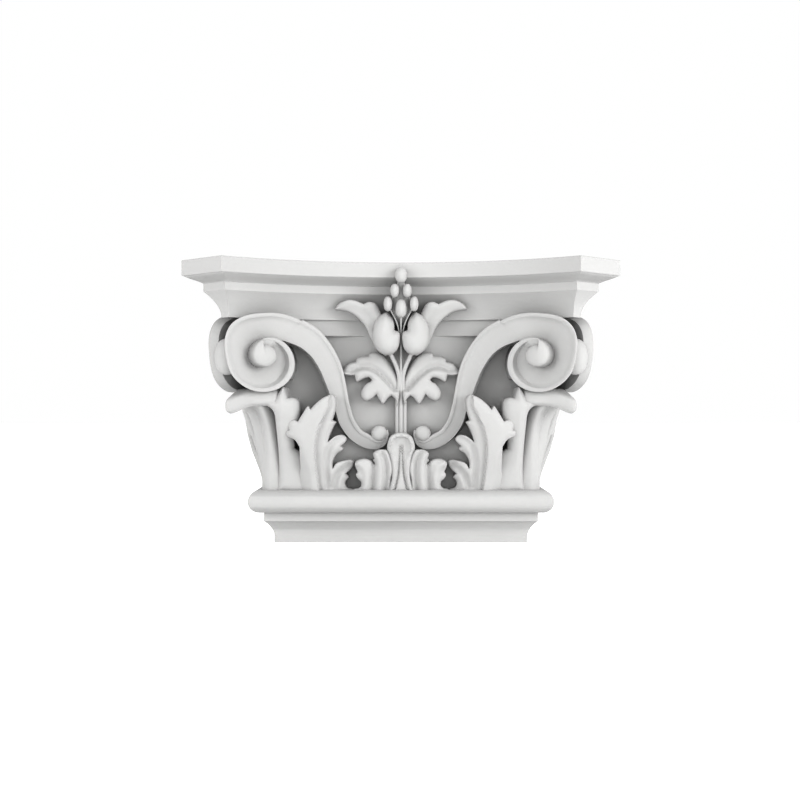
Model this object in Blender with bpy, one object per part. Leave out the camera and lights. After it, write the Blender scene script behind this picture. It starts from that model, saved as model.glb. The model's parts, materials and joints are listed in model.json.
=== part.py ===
"""A corinthian pilaster capital cast in plaster, for a flat shaft that stands against a wall.

The capital is one casting. It is modelled as a core of plain mouldings (abacus, bell and base) with
carvings joined to it: a scroll and a folded acanthus leaf at each corner, half leaves, low leaves, an
arch and a flower with a bunch of grapes. The right half of the front is drawn. The left half mirrors
it, and the short sides repeat it round the corner's diagonal, cut off flat at the wall. The drawing is
in millimetres, +Z up, the wall towards +Y, with the origin in the middle of the underside.
"""

import math

import bmesh
import bpy
import numpy as np
from mathutils.geometry import delaunay_2d_cdt

MM = 0.001

# Driving sizes, in millimetres
SHAFT_WIDTH = 200.0
SHAFT_DEPTH = 63.5
NECK_TOP = 42.3
HEIGHT = 220.0
ABACUS_HEIGHT = 44.0
ABACUS_OVERHANG = 33.2
ABACUS_CORNER_OUT = 68.5
ABACUS_HOLLOW = 51.0

# Base moulding, from the shaft up: a plain end, a hollow, a fillet and a half-round torus
PLAIN_END_HEIGHT = 4.5
FILLET_BOTTOM = 17.0
FILLET_TOP = 24.4
FILLET_OUT = 7.8
FILLET_EDGE = 0.7
TORUS_OUT = 19.3

# Abacus moulding, from the slab down, and its insets from the slab's face
SLAB_THICKNESS = 12.0
SLAB_HOLLOW_HEIGHT = 6.0
ABACUS_FILLET_HEIGHT = 6.5
ABACUS_FILLET_INSET = 12.3
CAVETTO_INSET = 22.2

# Bell and its lip
BELL_RECESS = 6.2
LIP_HEIGHT = 12.6
LIP_INSET = 3.0
LIP_CORNER_CUT = 40.0

# How far each part runs into its neighbour, so that they join well
ROOT_DEPTH = 6.0
OVERLAP = 3.0

# Fineness of the mouldings and carvings, as the spacing of points or the number of steps
EDGE_STEP = 5.5
FACE_STEP = 9.0
ABACUS_ARC_STEPS = 9
ABACUS_SIDE_STEPS = 5
CAVETTO_STEPS = 4
HOLLOW_STEPS = 4
TORUS_STEPS = 7
SCROLL_STEPS = 16
STEM_STEPS = 1
LEVEL_PIECES = 1
CURL_STEPS = 12
CURL_TILTS = (90, 55, 25)
EYE_FOOT = (0.94, 0.3)
EYE_TILTS = (62, 30)
ON_RIM = np.array([0, 0.8])
IN_HOLLOW = np.array([0.16, 0.55, 1.0])
STEM_STEP = 12.0
CORE_SIDES = 8
SMOOTH_ANGLE = math.radians(35)

# Places that follow from the sizes. A corner's diagonal is the line x + y = DIAGONAL
SHAFT_HALF = SHAFT_WIDTH / 2
WALL_Y = SHAFT_DEPTH / 2
SHAFT_FRONT = -SHAFT_DEPTH / 2
BELL_FRONT = SHAFT_FRONT + BELL_RECESS
BELL_TOP = HEIGHT - ABACUS_HEIGHT
DIAGONAL = SHAFT_HALF + SHAFT_FRONT
BELL_HALF = DIAGONAL - BELL_FRONT
ABACUS_CORNER_X = SHAFT_HALF + ABACUS_OVERHANG
ABACUS_CORNER_Y = SHAFT_FRONT - ABACUS_CORNER_OUT
SLAB_BOTTOM = HEIGHT - SLAB_THICKNESS
ABACUS_FILLET_TOP = SLAB_BOTTOM - SLAB_HOLLOW_HEIGHT
ABACUS_FILLET_BOTTOM = ABACUS_FILLET_TOP - ABACUS_FILLET_HEIGHT
LIP_BOTTOM = BELL_TOP - LIP_HEIGHT

# The carvings are drawn on a shaft of this half width, between these heights. On another shaft, what is
# drawn beyond MIDDLE_PART moves with its corner, and what is above LOWER_PART moves with the bell's top
DRAWN_HALF = 100.0
DRAWN_NECK_TOP = 42.3
DRAWN_BELL_TOP = 176.0
MIDDLE_PART = (25.0, 75.0)
LOWER_PART = (60.0, 125.0)


# Curves

def smooth_curve(points, step=None, pieces=1):
    """A Catmull-Rom curve through the points, cut about a step apart or into equal pieces a span."""
    points = np.array(points, float)
    padded = np.vstack([2 * points[0] - points[1], points, 2 * points[-1] - points[-2]])
    found = []
    for i in range(len(points) - 1):
        a, b, c, d = padded[i:i + 4]
        cuts = max(1, round(float(np.linalg.norm(c - b)) / step)) if step else pieces
        t = (np.arange(cuts) / cuts)[:, None]
        found.append(0.5 * (2 * b + (c - a) * t + (2 * a - 5 * b + 4 * c - d) * t ** 2
                            + (3 * b - a - 3 * c + d) * t ** 3))
    return np.vstack(found + [points[-1:]])


def lobed_outline(lobes):
    """A closed outline: each lobe is a smooth curve, and lobes meet in sharp notches."""
    curves = [smooth_curve(lobe + following[:1], EDGE_STEP)[:-1]
              for lobe, following in zip(lobes, lobes[1:] + lobes[:1])]
    return np.vstack(curves)


def distance_to(points, curve):
    """Each point's distance to a line of points, and how far along it the nearest place is, from 0 to 1."""
    curve = np.array(curve, float)
    start, run = curve[:-1], curve[1:] - curve[:-1]
    share = ((points[:, None] - start) * run).sum(-1) / np.maximum((run ** 2).sum(-1), 1e-9)
    share = np.clip(share, 0, 1)
    gap = np.linalg.norm(points[:, None] - (start + share[..., None] * run), axis=-1)
    nearest = gap.argmin(1)
    rows = np.arange(len(points))
    return gap[rows, nearest], (nearest + share[rows, nearest]) / len(start)


def inside(points, outline):
    """Whether each point is inside a closed outline."""
    x, z = points[:, :1], points[:, 1:]
    x1, z1 = outline.T
    x2, z2 = np.roll(outline, -1, 0).T
    rise = np.where(z2 == z1, 1.0, z2 - z1)
    crosses = ((z1 > z) != (z2 > z)) & (x < (x2 - x1) * (z - z1) / rise + x1)
    return crosses.sum(1) % 2 == 1


def ease(x):
    """A smooth rise from 0 to 1."""
    x = np.clip(x, 0, 1)
    return x * x * (3 - 2 * x)


def hump(x):
    """A round hump: 1 at 0, falling smoothly to 0 at 1 either way."""
    return np.cos(0.5 * math.pi * np.clip(np.abs(x), 0, 1)) ** 2


def dome(distance, radius):
    """A quarter-round edge: 0 at the edge, rising to 1 a radius inside it."""
    x = 1 - np.clip(distance / radius, 0, 1)
    return np.sqrt(1 - x * x)


def ridge(points, line, shape):
    """A soft ridge along a line, its shape given as (height, width)."""
    height, width = shape
    return height * hump(distance_to(points, smooth_curve(line, 4.0))[0] / width)


def edge_drop(edge_distance, shape):
    """How far a face drops towards its edge, given as (drop, width)."""
    drop, width = shape
    return drop * (1 - dome(edge_distance, width))


def profile(z, points):
    """A smooth curve through (height, value) points, read at each height."""
    heights, values = smooth_curve(points, 1.0).T
    return np.interp(z, heights, values)


def upright(line):
    """A line given as (height, x) points, as (x, height) points."""
    return [(x, height) for height, x in line]


def placed(drawn):
    """Drawn (x, z) points on the real capital: the corner's carvings move with the shaft's corner."""
    x, z = np.asarray(drawn, float).T
    outward = np.interp(x, MIDDLE_PART, (0, 1))
    upward = np.interp(z, LOWER_PART, (0, 1))
    rise = (1 - upward) * (NECK_TOP - DRAWN_NECK_TOP) + upward * (BELL_TOP - DRAWN_BELL_TOP)
    return np.column_stack([x + outward * (SHAFT_HALF - DRAWN_HALF), z + rise])


def from_corner(offsets):
    """Plan points given to the right of the shaft's front corner and forward of it."""
    return np.asarray(offsets, float) * (1, -1) + (SHAFT_HALF, SHAFT_FRONT)


# Closed forms, each as a list of points and a list of faces

FULLNESS = 0.85


def filled(outline, step=None, lines=()):
    """Points and triangles that fill an outline, also along carved lines and a step apart if these are given."""
    points = outline
    if step:
        ring = np.vstack([outline, outline[:1]])
        for line in lines:
            along = smooth_curve(line, step)
            along = along[inside(along, outline)]
            along = along[distance_to(along, ring)[0] > 0.2 * step]
            along = along[np.linalg.norm(along[:, None] - points, axis=-1).min(1) > 0.4 * step]
            points = np.vstack([points, along])
        low, high = outline.min(0), outline.max(0)
        grid = np.array([(x + (row % 2) * step / 2, z)
                         for row, z in enumerate(np.arange(low[1], high[1], step * 0.87))
                         for x in np.arange(low[0], high[0], step)])
        grid = grid[inside(grid, outline)]
        clear = np.linalg.norm(grid[:, None] - points, axis=-1).min(1) > 0.7 * step
        points = np.vstack([points, grid[clear & (distance_to(grid, ring)[0] > 0.55 * step)]])
    made = delaunay_2d_cdt([tuple(p) for p in points], [], [list(range(len(outline)))], 1, 1e-6)
    first = [ids[0] for ids in made[3]]
    return points, [[first[v] for v in face] for face in made[2]]


def carving(outline, face, lines=()):
    """A carving on the bell: an outline in (x, z), and how far its face stands out from the bell.

    Points are set along the carved lines too, so that ridges and furrows stay crisp.
    """
    points, front_faces = filled(outline, FACE_STEP, lines)
    edge_distance = distance_to(points, np.vstack([outline, outline[:1]]))[0]
    x, z = placed(points).T
    front = np.column_stack([x, BELL_FRONT - face(points, edge_distance), z])
    back = front[:len(outline)] * (1, 0, 1) + (0, BELL_FRONT + ROOT_DEPTH, 0)
    count, first = len(outline), len(front)
    walls = [(i, (i + 1) % count, first + (i + 1) % count, first + i) for i in range(count)]
    cap = [[v + first for v in triangle] for triangle in filled(outline)[1]]
    return np.vstack([front, back]), front_faces + walls + cap


def loft(rings):
    """Rings of equal length joined one to the next, with a flat end on the first and the last."""
    count = len(rings[0])
    faces = [(k + i, k + (i + 1) % count, k + count + (i + 1) % count, k + count + i)
             for k in range(0, (len(rings) - 1) * count, count) for i in range(count)]
    last = (len(rings) - 1) * count
    faces += filled(np.array(rings[0])[:, :2])[1]
    faces += [[v + last for v in face] for face in filled(np.array(rings[-1])[:, :2])[1]]
    return np.vstack(rings), faces


def egg(centre, radii, around=8, down=5):
    """A ball or an egg, upright."""
    rings = [(math.sin(tilt) ** FULLNESS * math.cos(turn), math.sin(tilt) ** FULLNESS * math.sin(turn),
              math.cos(tilt))
             for tilt in np.arange(1, down) * math.pi / down
             for turn in np.arange(around) * 2 * math.pi / around]
    points = np.array(rings + [(0, 0, 1), (0, 0, -1)]) * radii + centre
    top, bottom = len(rings), len(rings) + 1
    faces = [(k + i, k + (i + 1) % around, k + around + (i + 1) % around, k + around + i)
             for k in range(0, (down - 2) * around, around) for i in range(around)]
    faces += [(top, i, (i + 1) % around) for i in range(around)]
    faces += [(bottom, top - 1 - i, top - 1 - (i + 1) % around) for i in range(around)]
    return points, faces


def rod(path, radius, sides=6):
    """A round stem along a path."""
    path = np.array(path, float)
    run = np.gradient(path, axis=0)
    across = np.cross(run, (0.0, 1.0, 0.0))
    across /= np.linalg.norm(across, axis=1)[:, None]
    out = np.cross(across, run)
    out /= np.linalg.norm(out, axis=1)[:, None]
    radii = np.broadcast_to(radius, len(path))
    points = [place + size * (math.cos(turn) * a + math.sin(turn) * b)
              for place, a, b, size in zip(path, across, out, radii)
              for turn in np.arange(sides) * 2 * math.pi / sides]
    last = (len(path) - 1) * sides
    faces = [(k + i, k + (i + 1) % sides, k + sides + (i + 1) % sides, k + sides + i)
             for k in range(0, last, sides) for i in range(sides)]
    return np.array(points), faces + [range(sides), range(last, last + sides)]


def mirrored(shape):
    """The left half from the right half."""
    return np.asarray(shape[0]) * (-1, 1, 1), shape[1]


def round_the_corner(shape):
    """The same carving on the short side: mirrored in the corner's diagonal."""
    x, y, z = np.asarray(shape[0]).T
    return np.column_stack([DIAGONAL - y, DIAGONAL - x, z]), shape[1]


# Core mouldings

def abacus_ring(inset, height, corner_cut=0.0):
    """The abacus in plan at an inset: hollow front, cut corners, and hollow sides ended at the wall."""
    radius = (ABACUS_CORNER_X ** 2 + ABACUS_HOLLOW ** 2) / (2 * ABACUS_HOLLOW)
    centre_y = ABACUS_CORNER_Y + ABACUS_HOLLOW - radius
    reach = radius + inset
    # The cut corner is the line x - y = cut, and the hollow meets it at the vertex
    cut = ABACUS_CORNER_X - ABACUS_CORNER_Y - inset * math.sqrt(2) - corner_cut
    drop = cut + centre_y
    vertex_x = (drop + math.sqrt(2 * reach ** 2 - drop ** 2)) / 2
    turns = np.linspace(0, math.asin(vertex_x / reach), ABACUS_ARC_STEPS + 1)
    front = np.column_stack([reach * np.sin(turns), centre_y + reach * np.cos(turns)])
    side_y = np.linspace(DIAGONAL - vertex_x, WALL_Y + OVERLAP, ABACUS_SIDE_STEPS + 1)
    side_x = DIAGONAL - centre_y - np.sqrt(reach ** 2 - (side_y - DIAGONAL) ** 2)
    half = np.vstack([front, np.column_stack([side_x, side_y])])
    ring = np.vstack([half, half[:0:-1] * (-1, 1)])
    return np.column_stack([ring, np.full(len(ring), height)])


def abacus():
    levels = [(0, HEIGHT), (0, SLAB_BOTTOM), (ABACUS_FILLET_INSET, ABACUS_FILLET_TOP),
              (ABACUS_FILLET_INSET, ABACUS_FILLET_BOTTOM)]
    for share in np.arange(1, CAVETTO_STEPS + 1) / CAVETTO_STEPS:
        inward = 1 - (1 - share) ** 2
        levels.append((ABACUS_FILLET_INSET + (CAVETTO_INSET - ABACUS_FILLET_INSET) * inward,
                       ABACUS_FILLET_BOTTOM - (ABACUS_FILLET_BOTTOM - BELL_TOP) * share))
    return loft([abacus_ring(inset, height) for inset, height in levels])


def lip():
    """The bell's lip: a flat band under the abacus that follows its hollow."""
    inset = CAVETTO_INSET + LIP_INSET
    return loft([abacus_ring(inset, height, LIP_CORNER_CUT) for height in (BELL_TOP + OVERLAP, LIP_BOTTOM)])


def block_ring(out, height):
    """The shaft's plan grown by a distance, up to the wall."""
    half, front, back = SHAFT_HALF + out, SHAFT_FRONT - out, WALL_Y + OVERLAP
    return np.array([(-half, front, height), (half, front, height), (half, back, height),
                     (-half, back, height)])


def base():
    levels = [(0, 0)]
    for share in np.arange(HOLLOW_STEPS + 1) / HOLLOW_STEPS:
        levels.append(((FILLET_OUT - FILLET_EDGE) * share ** 2,
                       PLAIN_END_HEIGHT + (FILLET_BOTTOM - PLAIN_END_HEIGHT) * share))
    levels += [(FILLET_OUT, FILLET_BOTTOM), (FILLET_OUT, FILLET_TOP)]
    radius = (NECK_TOP - FILLET_TOP) / 2
    for turn in np.linspace(-math.pi / 2, math.pi / 2, TORUS_STEPS + 1):
        levels.append((TORUS_OUT - radius + radius * math.cos(turn),
                       FILLET_TOP + radius + radius * math.sin(turn)))
    return loft([block_ring(out, height) for out, height in levels])


def bell():
    return loft([block_ring(-BELL_RECESS, height) for height in (NECK_TOP - OVERLAP, BELL_TOP + OVERLAP)])


# Scrolls

SCROLL_CENTRE = np.array([104.9, 146.8])
SCROLL_TILT = math.radians(27)
SCROLL_EDGE = (131.6, SHAFT_FRONT - 47.25)
SCROLL_THICKNESS = 8.0
SCROLL_BAND = 0.93
SCROLL_CORE = 0.55
CORE_FROM = (84.0, 96.0)
# Radius of the rim's outer edge at each eighth of a turn, from two eighths before the top
SCROLL_RADII = (50.0, 39.2, 33.0, 33.4, 27.4, 27.7, 28.0, 26.6, 22.2, 17.4, 13.3, 10.2, 8.9, 8.8)
SCROLL_RIM = (1.8, 4.2)
SCROLL_CHANNEL = 9.0
CHANNEL_END = (0.83, 0.93)
CRISP_FROM = 0.42
CRISP_OVER = 0.25
STEM_OPEN = 0.5
STEM_CRISP = 0.25
ROOT_KEEP = 10.0
ROOT_DRAWN_IN = 0.15
EYE_OUT = 5.2
EYE_SWIRL = 0.4
STEM_FACE_Y = SHAFT_FRONT - 1.25
STEM_BEND = 6.0

# The stem below the scroll, as pairs of points on its upper and its lower edge
STEM_PAIRS = (
    ((76.0, 175.2), (88.5, 158.7)),
    ((66.3, 169.6), (77.0, 154.2)),
    ((58.3, 161.5), (68.6, 147.3)),
    ((50.8, 149.6), (61.8, 136.4)),
    ((45.8, 137.2), (57.2, 125.0)),
    ((42.9, 123.3), (53.6, 114.0)),
    ((40.6, 110.5), (50.6, 104.5)),
    ((37.0, 98.0), (47.2, 93.0)),
    ((31.5, 89.4), (39.5, 81.8)),
    ((24.8, 85.4), (29.2, 75.0)),
    ((19.0, 81.6), (19.0, 73.7)),
    ((14.6, 82.4), (12.2, 77.4)),
    ((13.0, 86.0), (9.8, 84.5)),
    ((13.4, 88.2), (10.4, 89.4)),
)
CURL_CENTRE = (17.3, 86.4)
CURL_RADIUS = 6.4
CURL_OUT = 2.2
CURL_SWELL = 3.4
CURL_BACK = -10.0
PILLOW_HEIGHT = 146.0
PILLOW_HALF_HEIGHT = 14.0
PILLOW_BEHIND = 8.1
PILLOW_FILL = 0.86


def scroll_plan(x):
    """How far forward the scroll's face is: flat over the bell, then tilted out to the corner."""
    slope = math.tan(SCROLL_TILT)
    start = SCROLL_EDGE[0] - (STEM_FACE_Y - SCROLL_EDGE[1]) / slope
    return STEM_FACE_Y - slope * STEM_BEND * np.logaddexp(0, (x - start) / STEM_BEND)


def on_scroll(drawn, height):
    """Drawn points of the scroll in space, lifted off its face by a height."""
    x = np.asarray(drawn, float)[:, 0]
    slope = scroll_plan(x + 0.5) - scroll_plan(x - 0.5)
    length = np.sqrt(1 + slope ** 2)
    place_x, place_z = placed(drawn).T
    return np.column_stack([place_x + height * slope / length, scroll_plan(x) - height / length, place_z])


def scroll_edge(turns):
    """Points of the rim's outer edge after so many turns, its radius a smooth curve of the eighths."""
    radii = np.array(SCROLL_RADII + SCROLL_RADII[-1:] * 9)
    place = turns * 8 + 2
    low = np.clip(np.floor(place + 1e-9).astype(int), 0, len(radii) - 2)
    t = place - low
    a, b, c, d = (radii[np.clip(low + i, 0, len(radii) - 1)] for i in (-1, 0, 1, 2))
    radius = 0.5 * (2 * b + (c - a) * t + (2 * a - 5 * b + 4 * c - d) * t ** 2
                    + (3 * b - a - 3 * c + d) * t ** 3)
    angle = 2 * math.pi * turns
    return SCROLL_CENTRE + radius[:, None] * np.column_stack([np.sin(angle), np.cos(angle)])


def scroll_section(outer, inner, open_share, crisp):
    """Points and heights across the scroll: a rounded rim, then a hollow that deepens inwards."""
    width = float(np.linalg.norm(inner - outer))
    rim = min(SCROLL_RIM[0] + crisp * (SCROLL_RIM[1] - SCROLL_RIM[0]), 0.36 * width)
    deep = min(SCROLL_CHANNEL, 0.5 * width) * open_share
    rim_heights = -0.3 * rim * (1 - dome(np.minimum(ON_RIM, 1.05 - ON_RIM), 0.34))
    step = 0.12 + 0.5 * crisp
    hollow_heights = -deep * (step * ease(IN_HOLLOW / 0.16) + (1 - step) * IN_HOLLOW ** (1.3 - 0.5 * crisp))
    across = np.concatenate([ON_RIM * rim, rim + IN_HOLLOW * (width - rim)]) / width
    return outer + across[:, None] * (inner - outer), np.concatenate([rim_heights, hollow_heights])


def root_of(drawn):
    """Where a carving is rooted: straight back over the bell, drawn in to the bell at its corner."""
    x, z = placed(drawn).T
    limit = BELL_HALF - ROOT_KEEP
    inward = np.where(x < limit, x, limit + (x - limit) * ROOT_DRAWN_IN)
    return np.column_stack([inward, np.full(len(x), BELL_FRONT + ROOT_DEPTH), z])


def scroll():
    """The scroll and its stem: one modelled face, a band straight back from it, and a root in the bell."""
    around, lead = SCROLL_STEPS, SCROLL_STEPS // 8
    turns = np.arange(-lead, around + 1) / around
    upper, lower = (smooth_curve([pair[i] for pair in STEM_PAIRS[::-1]], pieces=STEM_STEPS) for i in (0, 1))
    outers = np.vstack([upper, scroll_edge(turns)])
    inners = np.vstack([lower, scroll_edge(turns + 1)])
    free = len(upper)
    opening = STEM_OPEN + (1 - STEM_OPEN) * ease((turns + 1 / 8) * 5)
    closing = ease((turns - CHANNEL_END[0]) / (CHANNEL_END[1] - CHANNEL_END[0]))
    opened = np.concatenate([np.full(free, STEM_OPEN), opening - closing])
    crispness = np.maximum(STEM_CRISP * (1 - ease(4 * turns)), ease((turns - CRISP_FROM) / CRISP_OVER))
    crisp = np.concatenate([np.full(free, STEM_CRISP), crispness])
    places, faces = [], []

    def add(points):
        places.extend(points)
        return list(range(len(places) - len(points), len(places)))

    rows = [add(on_scroll(*scroll_section(*drawn))) for drawn in zip(outers, inners, opened, crisp)]
    for row, following in zip(rows, rows[1:]):
        faces += [(row[i], row[i + 1], following[i + 1], following[i]) for i in range(len(row) - 1)]
    # The inner turn's rim stands as a wall at the foot of the first sections
    for j in range(free, free + lead):
        faces.append((rows[j][-1], rows[j + around][0], rows[j + around + 1][0], rows[j + 1][-1]))
    # The eye rises from the feet of the sections, and from the last section up to the rim
    before = [row[-1] for row in rows[free + lead:]] + rows[-1][-2::-1]
    drawn = np.vstack([inners[free + lead:], scroll_section(outers[-1], inners[-1], 0, 1)[0][-2:0:-1]])
    eye = [EYE_FOOT] + [(math.sin(tilt), EYE_OUT * math.cos(tilt) ** 0.8)
                         for tilt in np.radians(EYE_TILTS)]
    for share, height in eye:
        # Each ring turns a little on, so that the eye winds inwards from the ribbon's end
        swirl = EYE_SWIRL * math.sqrt(1 - share)
        turned = np.array([(math.cos(swirl), -math.sin(swirl)), (math.sin(swirl), math.cos(swirl))])
        ring = add(on_scroll(SCROLL_CENTRE + share * (drawn - SCROLL_CENTRE) @ turned, height))
        if len(before) > len(ring):
            faces.append((before[-1], ring[0], before[0]))
            faces.append((before[-2], ring[-1], ring[0], before[-1]))
            faces += [(before[i], ring[i], ring[i + 1], before[i + 1]) for i in range(len(ring) - 1)]
        else:
            faces += [(before[i - 1], ring[i - 1], ring[i], before[i]) for i in range(len(ring))]
        before = ring
    tip = add(on_scroll([SCROLL_CENTRE], EYE_OUT))[0]
    faces += [(before[i - 1], tip, before[i]) for i in range(len(before))]
    # Round the outside, the edge steps up once, from the channel to the inner turn's rim
    last = free + around
    edge = [row[0] for row in rows[:last + 1]] + [row[-1] for row in rows[free - 1::-1]] + rows[0][-2:0:-1]
    flat = np.vstack([outers[:last + 1], inners[free - 1::-1],
                      scroll_section(outers[0], inners[0], STEM_OPEN, STEM_CRISP)[0][-2:0:-1]])
    # Behind the scroll's edge the form draws in, so a dark gap opens between it and the side's scroll
    band = np.interp(flat[:, 0], CORE_FROM, (1, SCROLL_BAND))[:, None]
    core = np.interp(flat[:, 0], CORE_FROM, (1, SCROLL_CORE))[:, None]
    wall = add(on_scroll(SCROLL_CENTRE + band * (flat - SCROLL_CENTRE), -SCROLL_THICKNESS))
    under = add(on_scroll(SCROLL_CENTRE + core * (flat - SCROLL_CENTRE), -SCROLL_THICKNESS - 1.0))
    root = add(root_of(SCROLL_CENTRE + core * (flat - SCROLL_CENTRE)))
    foot = rows[free][-1]
    for i in range(len(edge)):
        j = (i + 1) % len(edge)
        upper_side = (edge[i], edge[j])
        if i == last - 1:
            upper_side = (edge[i], edge[j], foot)
        if i == last:
            upper_side = (foot, edge[j])
        faces.append(upper_side + (wall[j], wall[i]))
        faces.append((wall[i], wall[j], under[j], under[i]))
        faces.append((under[i], under[j], root[j], root[i]))
    faces += [[root[v] for v in face] for face in filled(flat)[1]]
    return np.array(places), faces


def curl():
    """The round end of the scroll's stem."""
    turns = np.arange(CURL_STEPS) * 2 * math.pi / CURL_STEPS
    levels = [(1.0, CURL_BACK)] + [(math.sin(tilt) ** 0.7, CURL_OUT + CURL_SWELL * (math.cos(tilt) - 1))
                                   for tilt in np.radians(CURL_TILTS)]
    rings = [on_scroll(CURL_CENTRE + share * CURL_RADIUS * np.column_stack([np.cos(turns), np.sin(turns)]),
                       height) for share, height in levels]
    count = len(turns)
    faces = [(k + i, k + (i + 1) % count, k + count + (i + 1) % count, k + count + i)
             for k in range(0, (len(rings) - 1) * count, count) for i in range(count)]
    last = (len(rings) - 1) * count
    return np.vstack(rings), faces + [range(count), range(last, last + count)]


def pillow():
    """The soft swelling on the diagonal that fills the gap between the front scroll and the side scroll."""
    edge_x, z = placed([(SCROLL_EDGE[0], PILLOW_HEIGHT)])[0]
    gap = math.sqrt(2) * abs(DIAGONAL - SCROLL_EDGE[1] - edge_x)
    radius = PILLOW_FILL * gap / 2
    x = (edge_x + DIAGONAL - SCROLL_EDGE[1]) / 2 - PILLOW_BEHIND / math.sqrt(2)
    return egg((x, DIAGONAL - x, z), (radius, radius, PILLOW_HALF_HEIGHT))


# Leaves

CORNER_CREST = ((107.7, 39.0), (107.8, 60.0), (108.3, 78.0), (109.8, 92.0), (113.5, 103.0), (119.0, 112.0))
CORNER_STEM_EDGE = ((96.0, 112.0), (92.0, 100.0), (88.0, 70.0), (86.0, 39.0))
CORNER_RIB = ((39.0, 2.6), (52.0, 2.8), (66.0, 4.6), (80.0, 7.0), (92.0, 8.2), (112.0, 8.0))
CORNER_RIB_MIDDLE = 5.8
CORNER_RIB_REACH = 6.0
CORNER_RIB_INNER_REACH = 8.5
CORNER_RIB_LEAN = 0.1
STEM_ROOT_IN = 9.0
STEM_ROOT_SHARE = 0.18


def corner_stem():
    """The leaf's stem round the corner: a rib on the front, and its mirror on the side, as one form."""
    crest = smooth_curve(CORNER_CREST, EDGE_STEP * 1.2)
    free_edge = smooth_curve(CORNER_STEM_EDGE, EDGE_STEP)
    outline = np.vstack([crest, free_edge])
    lines = [crest[1:-1] - (inward, 0) for inward in (CORNER_RIB_MIDDLE, 2 * CORNER_RIB_MIDDLE)]
    points, triangles = filled(outline, FACE_STEP, lines)
    x, z = points.T
    crest_x = np.interp(z, crest[:, 1], crest[:, 0])
    across = crest_x - x
    reach = np.where(across > CORNER_RIB_MIDDLE, CORNER_RIB_INNER_REACH, CORNER_RIB_REACH)
    rib = profile(z, CORNER_RIB) * np.sqrt(hump((across - CORNER_RIB_MIDDLE) / reach))
    place_x, place_z = placed(points).T
    y = DIAGONAL - (place_x + across) + CORNER_RIB_LEAN * across - rib
    y[:len(crest)] = DIAGONAL - place_x[:len(crest)]
    front = np.column_stack([place_x, y, place_z])
    side = np.column_stack([DIAGONAL - y, DIAGONAL - place_x, place_z])
    count = len(front)
    twin = [i if i < len(crest) else count + i for i in range(count)]
    places = np.vstack([front, side])
    faces = [list(t) for t in triangles] + [[twin[v] for v in t] for t in triangles]
    half = list(range(len(crest) - 1, len(outline)))
    loop = half + [0] + [twin[i] for i in half[:0:-1]]
    # The back of the stem is drawn in towards the bell's corner
    inner = np.array([BELL_HALF - STEM_ROOT_IN, BELL_FRONT + STEM_ROOT_IN])
    ring = places[loop]
    back = ring.copy()
    back[:, :2] = inner + STEM_ROOT_SHARE * (ring[:, :2] - inner)
    first, around = len(places), len(loop)
    places = np.vstack([places, back])
    faces += [(loop[i], loop[(i + 1) % around], first + (i + 1) % around, first + i) for i in range(around)]
    faces.append([first + i for i in range(around)])
    return places, faces


CORNER_LEAF_LOBES = [
    [(98.5, 40.0), (96.6, 50.0), (96.0, 60.0), (96.3, 74.5), (97.4, 92.0), (98.4, 102.0), (101.8, 107.0),
     (108.0, 109.4)],
    [(108.5, 112.0), (104.0, 113.2)],
    [(98.4, 112.6), (94.5, 119.4), (91.4, 123.0), (89.3, 118.0)],
    [(88.2, 114.5), (83.7, 114.7), (80.1, 112.2), (78.8, 106.0), (78.8, 98.0), (80.5, 90.0), (83.4, 82.5)],
    [(83.4, 75.0), (78.0, 71.5), (72.0, 66.0), (68.0, 56.0), (66.0, 40.0)],
]
CORNER_LEAF_OUT = ((40.0, 16.0), (52.0, 17.0), (66.0, 20.0), (80.0, 24.5), (94.0, 29.5), (106.0, 33.0),
                   (123.0, 34.0))
CORNER_LEAF_FALL = 0.12
CORNER_LEAF_ROUND = 0.011
CORNER_LEAF_EDGE = (4.6, 6.0)
CORNER_LEAF_RIDGE = ((40.0, 83.0), (52.0, 85.5), (65.6, 91.0), (92.6, 92.3), (112.8, 92.0), (123.0, 93.0))


def corner_leaf():
    """The leaf itself: it rises beside the stem, leans out, and its head turns over in lobes."""
    outline = lobed_outline(CORNER_LEAF_LOBES)

    def face(points, edge_distance):
        x, z = points.T
        past_ridge = np.clip(profile(z, CORNER_LEAF_RIDGE) - x, 0, None)
        fall = CORNER_LEAF_FALL * past_ridge + CORNER_LEAF_ROUND * past_ridge ** 2
        return profile(z, CORNER_LEAF_OUT) - fall - edge_drop(edge_distance, CORNER_LEAF_EDGE)

    return carving(outline, face, [upright(CORNER_LEAF_RIDGE)])


LEAF_HEAD_TIP = (34.6, 34.6)
LEAF_HEAD_FRONT = ((31.5, 34.85), (24.5, 32.6), (17.0, 30.6), (9.0, 29.0), (1.5, 27.6), (-4.0, 25.0),
                   (-7.0, 19.0))
LEAF_HEAD_INNER = ((-11.0, -0.75), (-10.5, -10.5))
LEAF_HEAD_LEVELS = ((108.4, 4.5), (110.4, 1.0), (114.5, 0.0), (118.6, 1.2), (122.0, 5.5))
LEAF_HEAD_DROOP = 6.0
LEAF_HEAD_NOSE = 11.0
LEAF_HEAD_KEEP = 20.0


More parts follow.
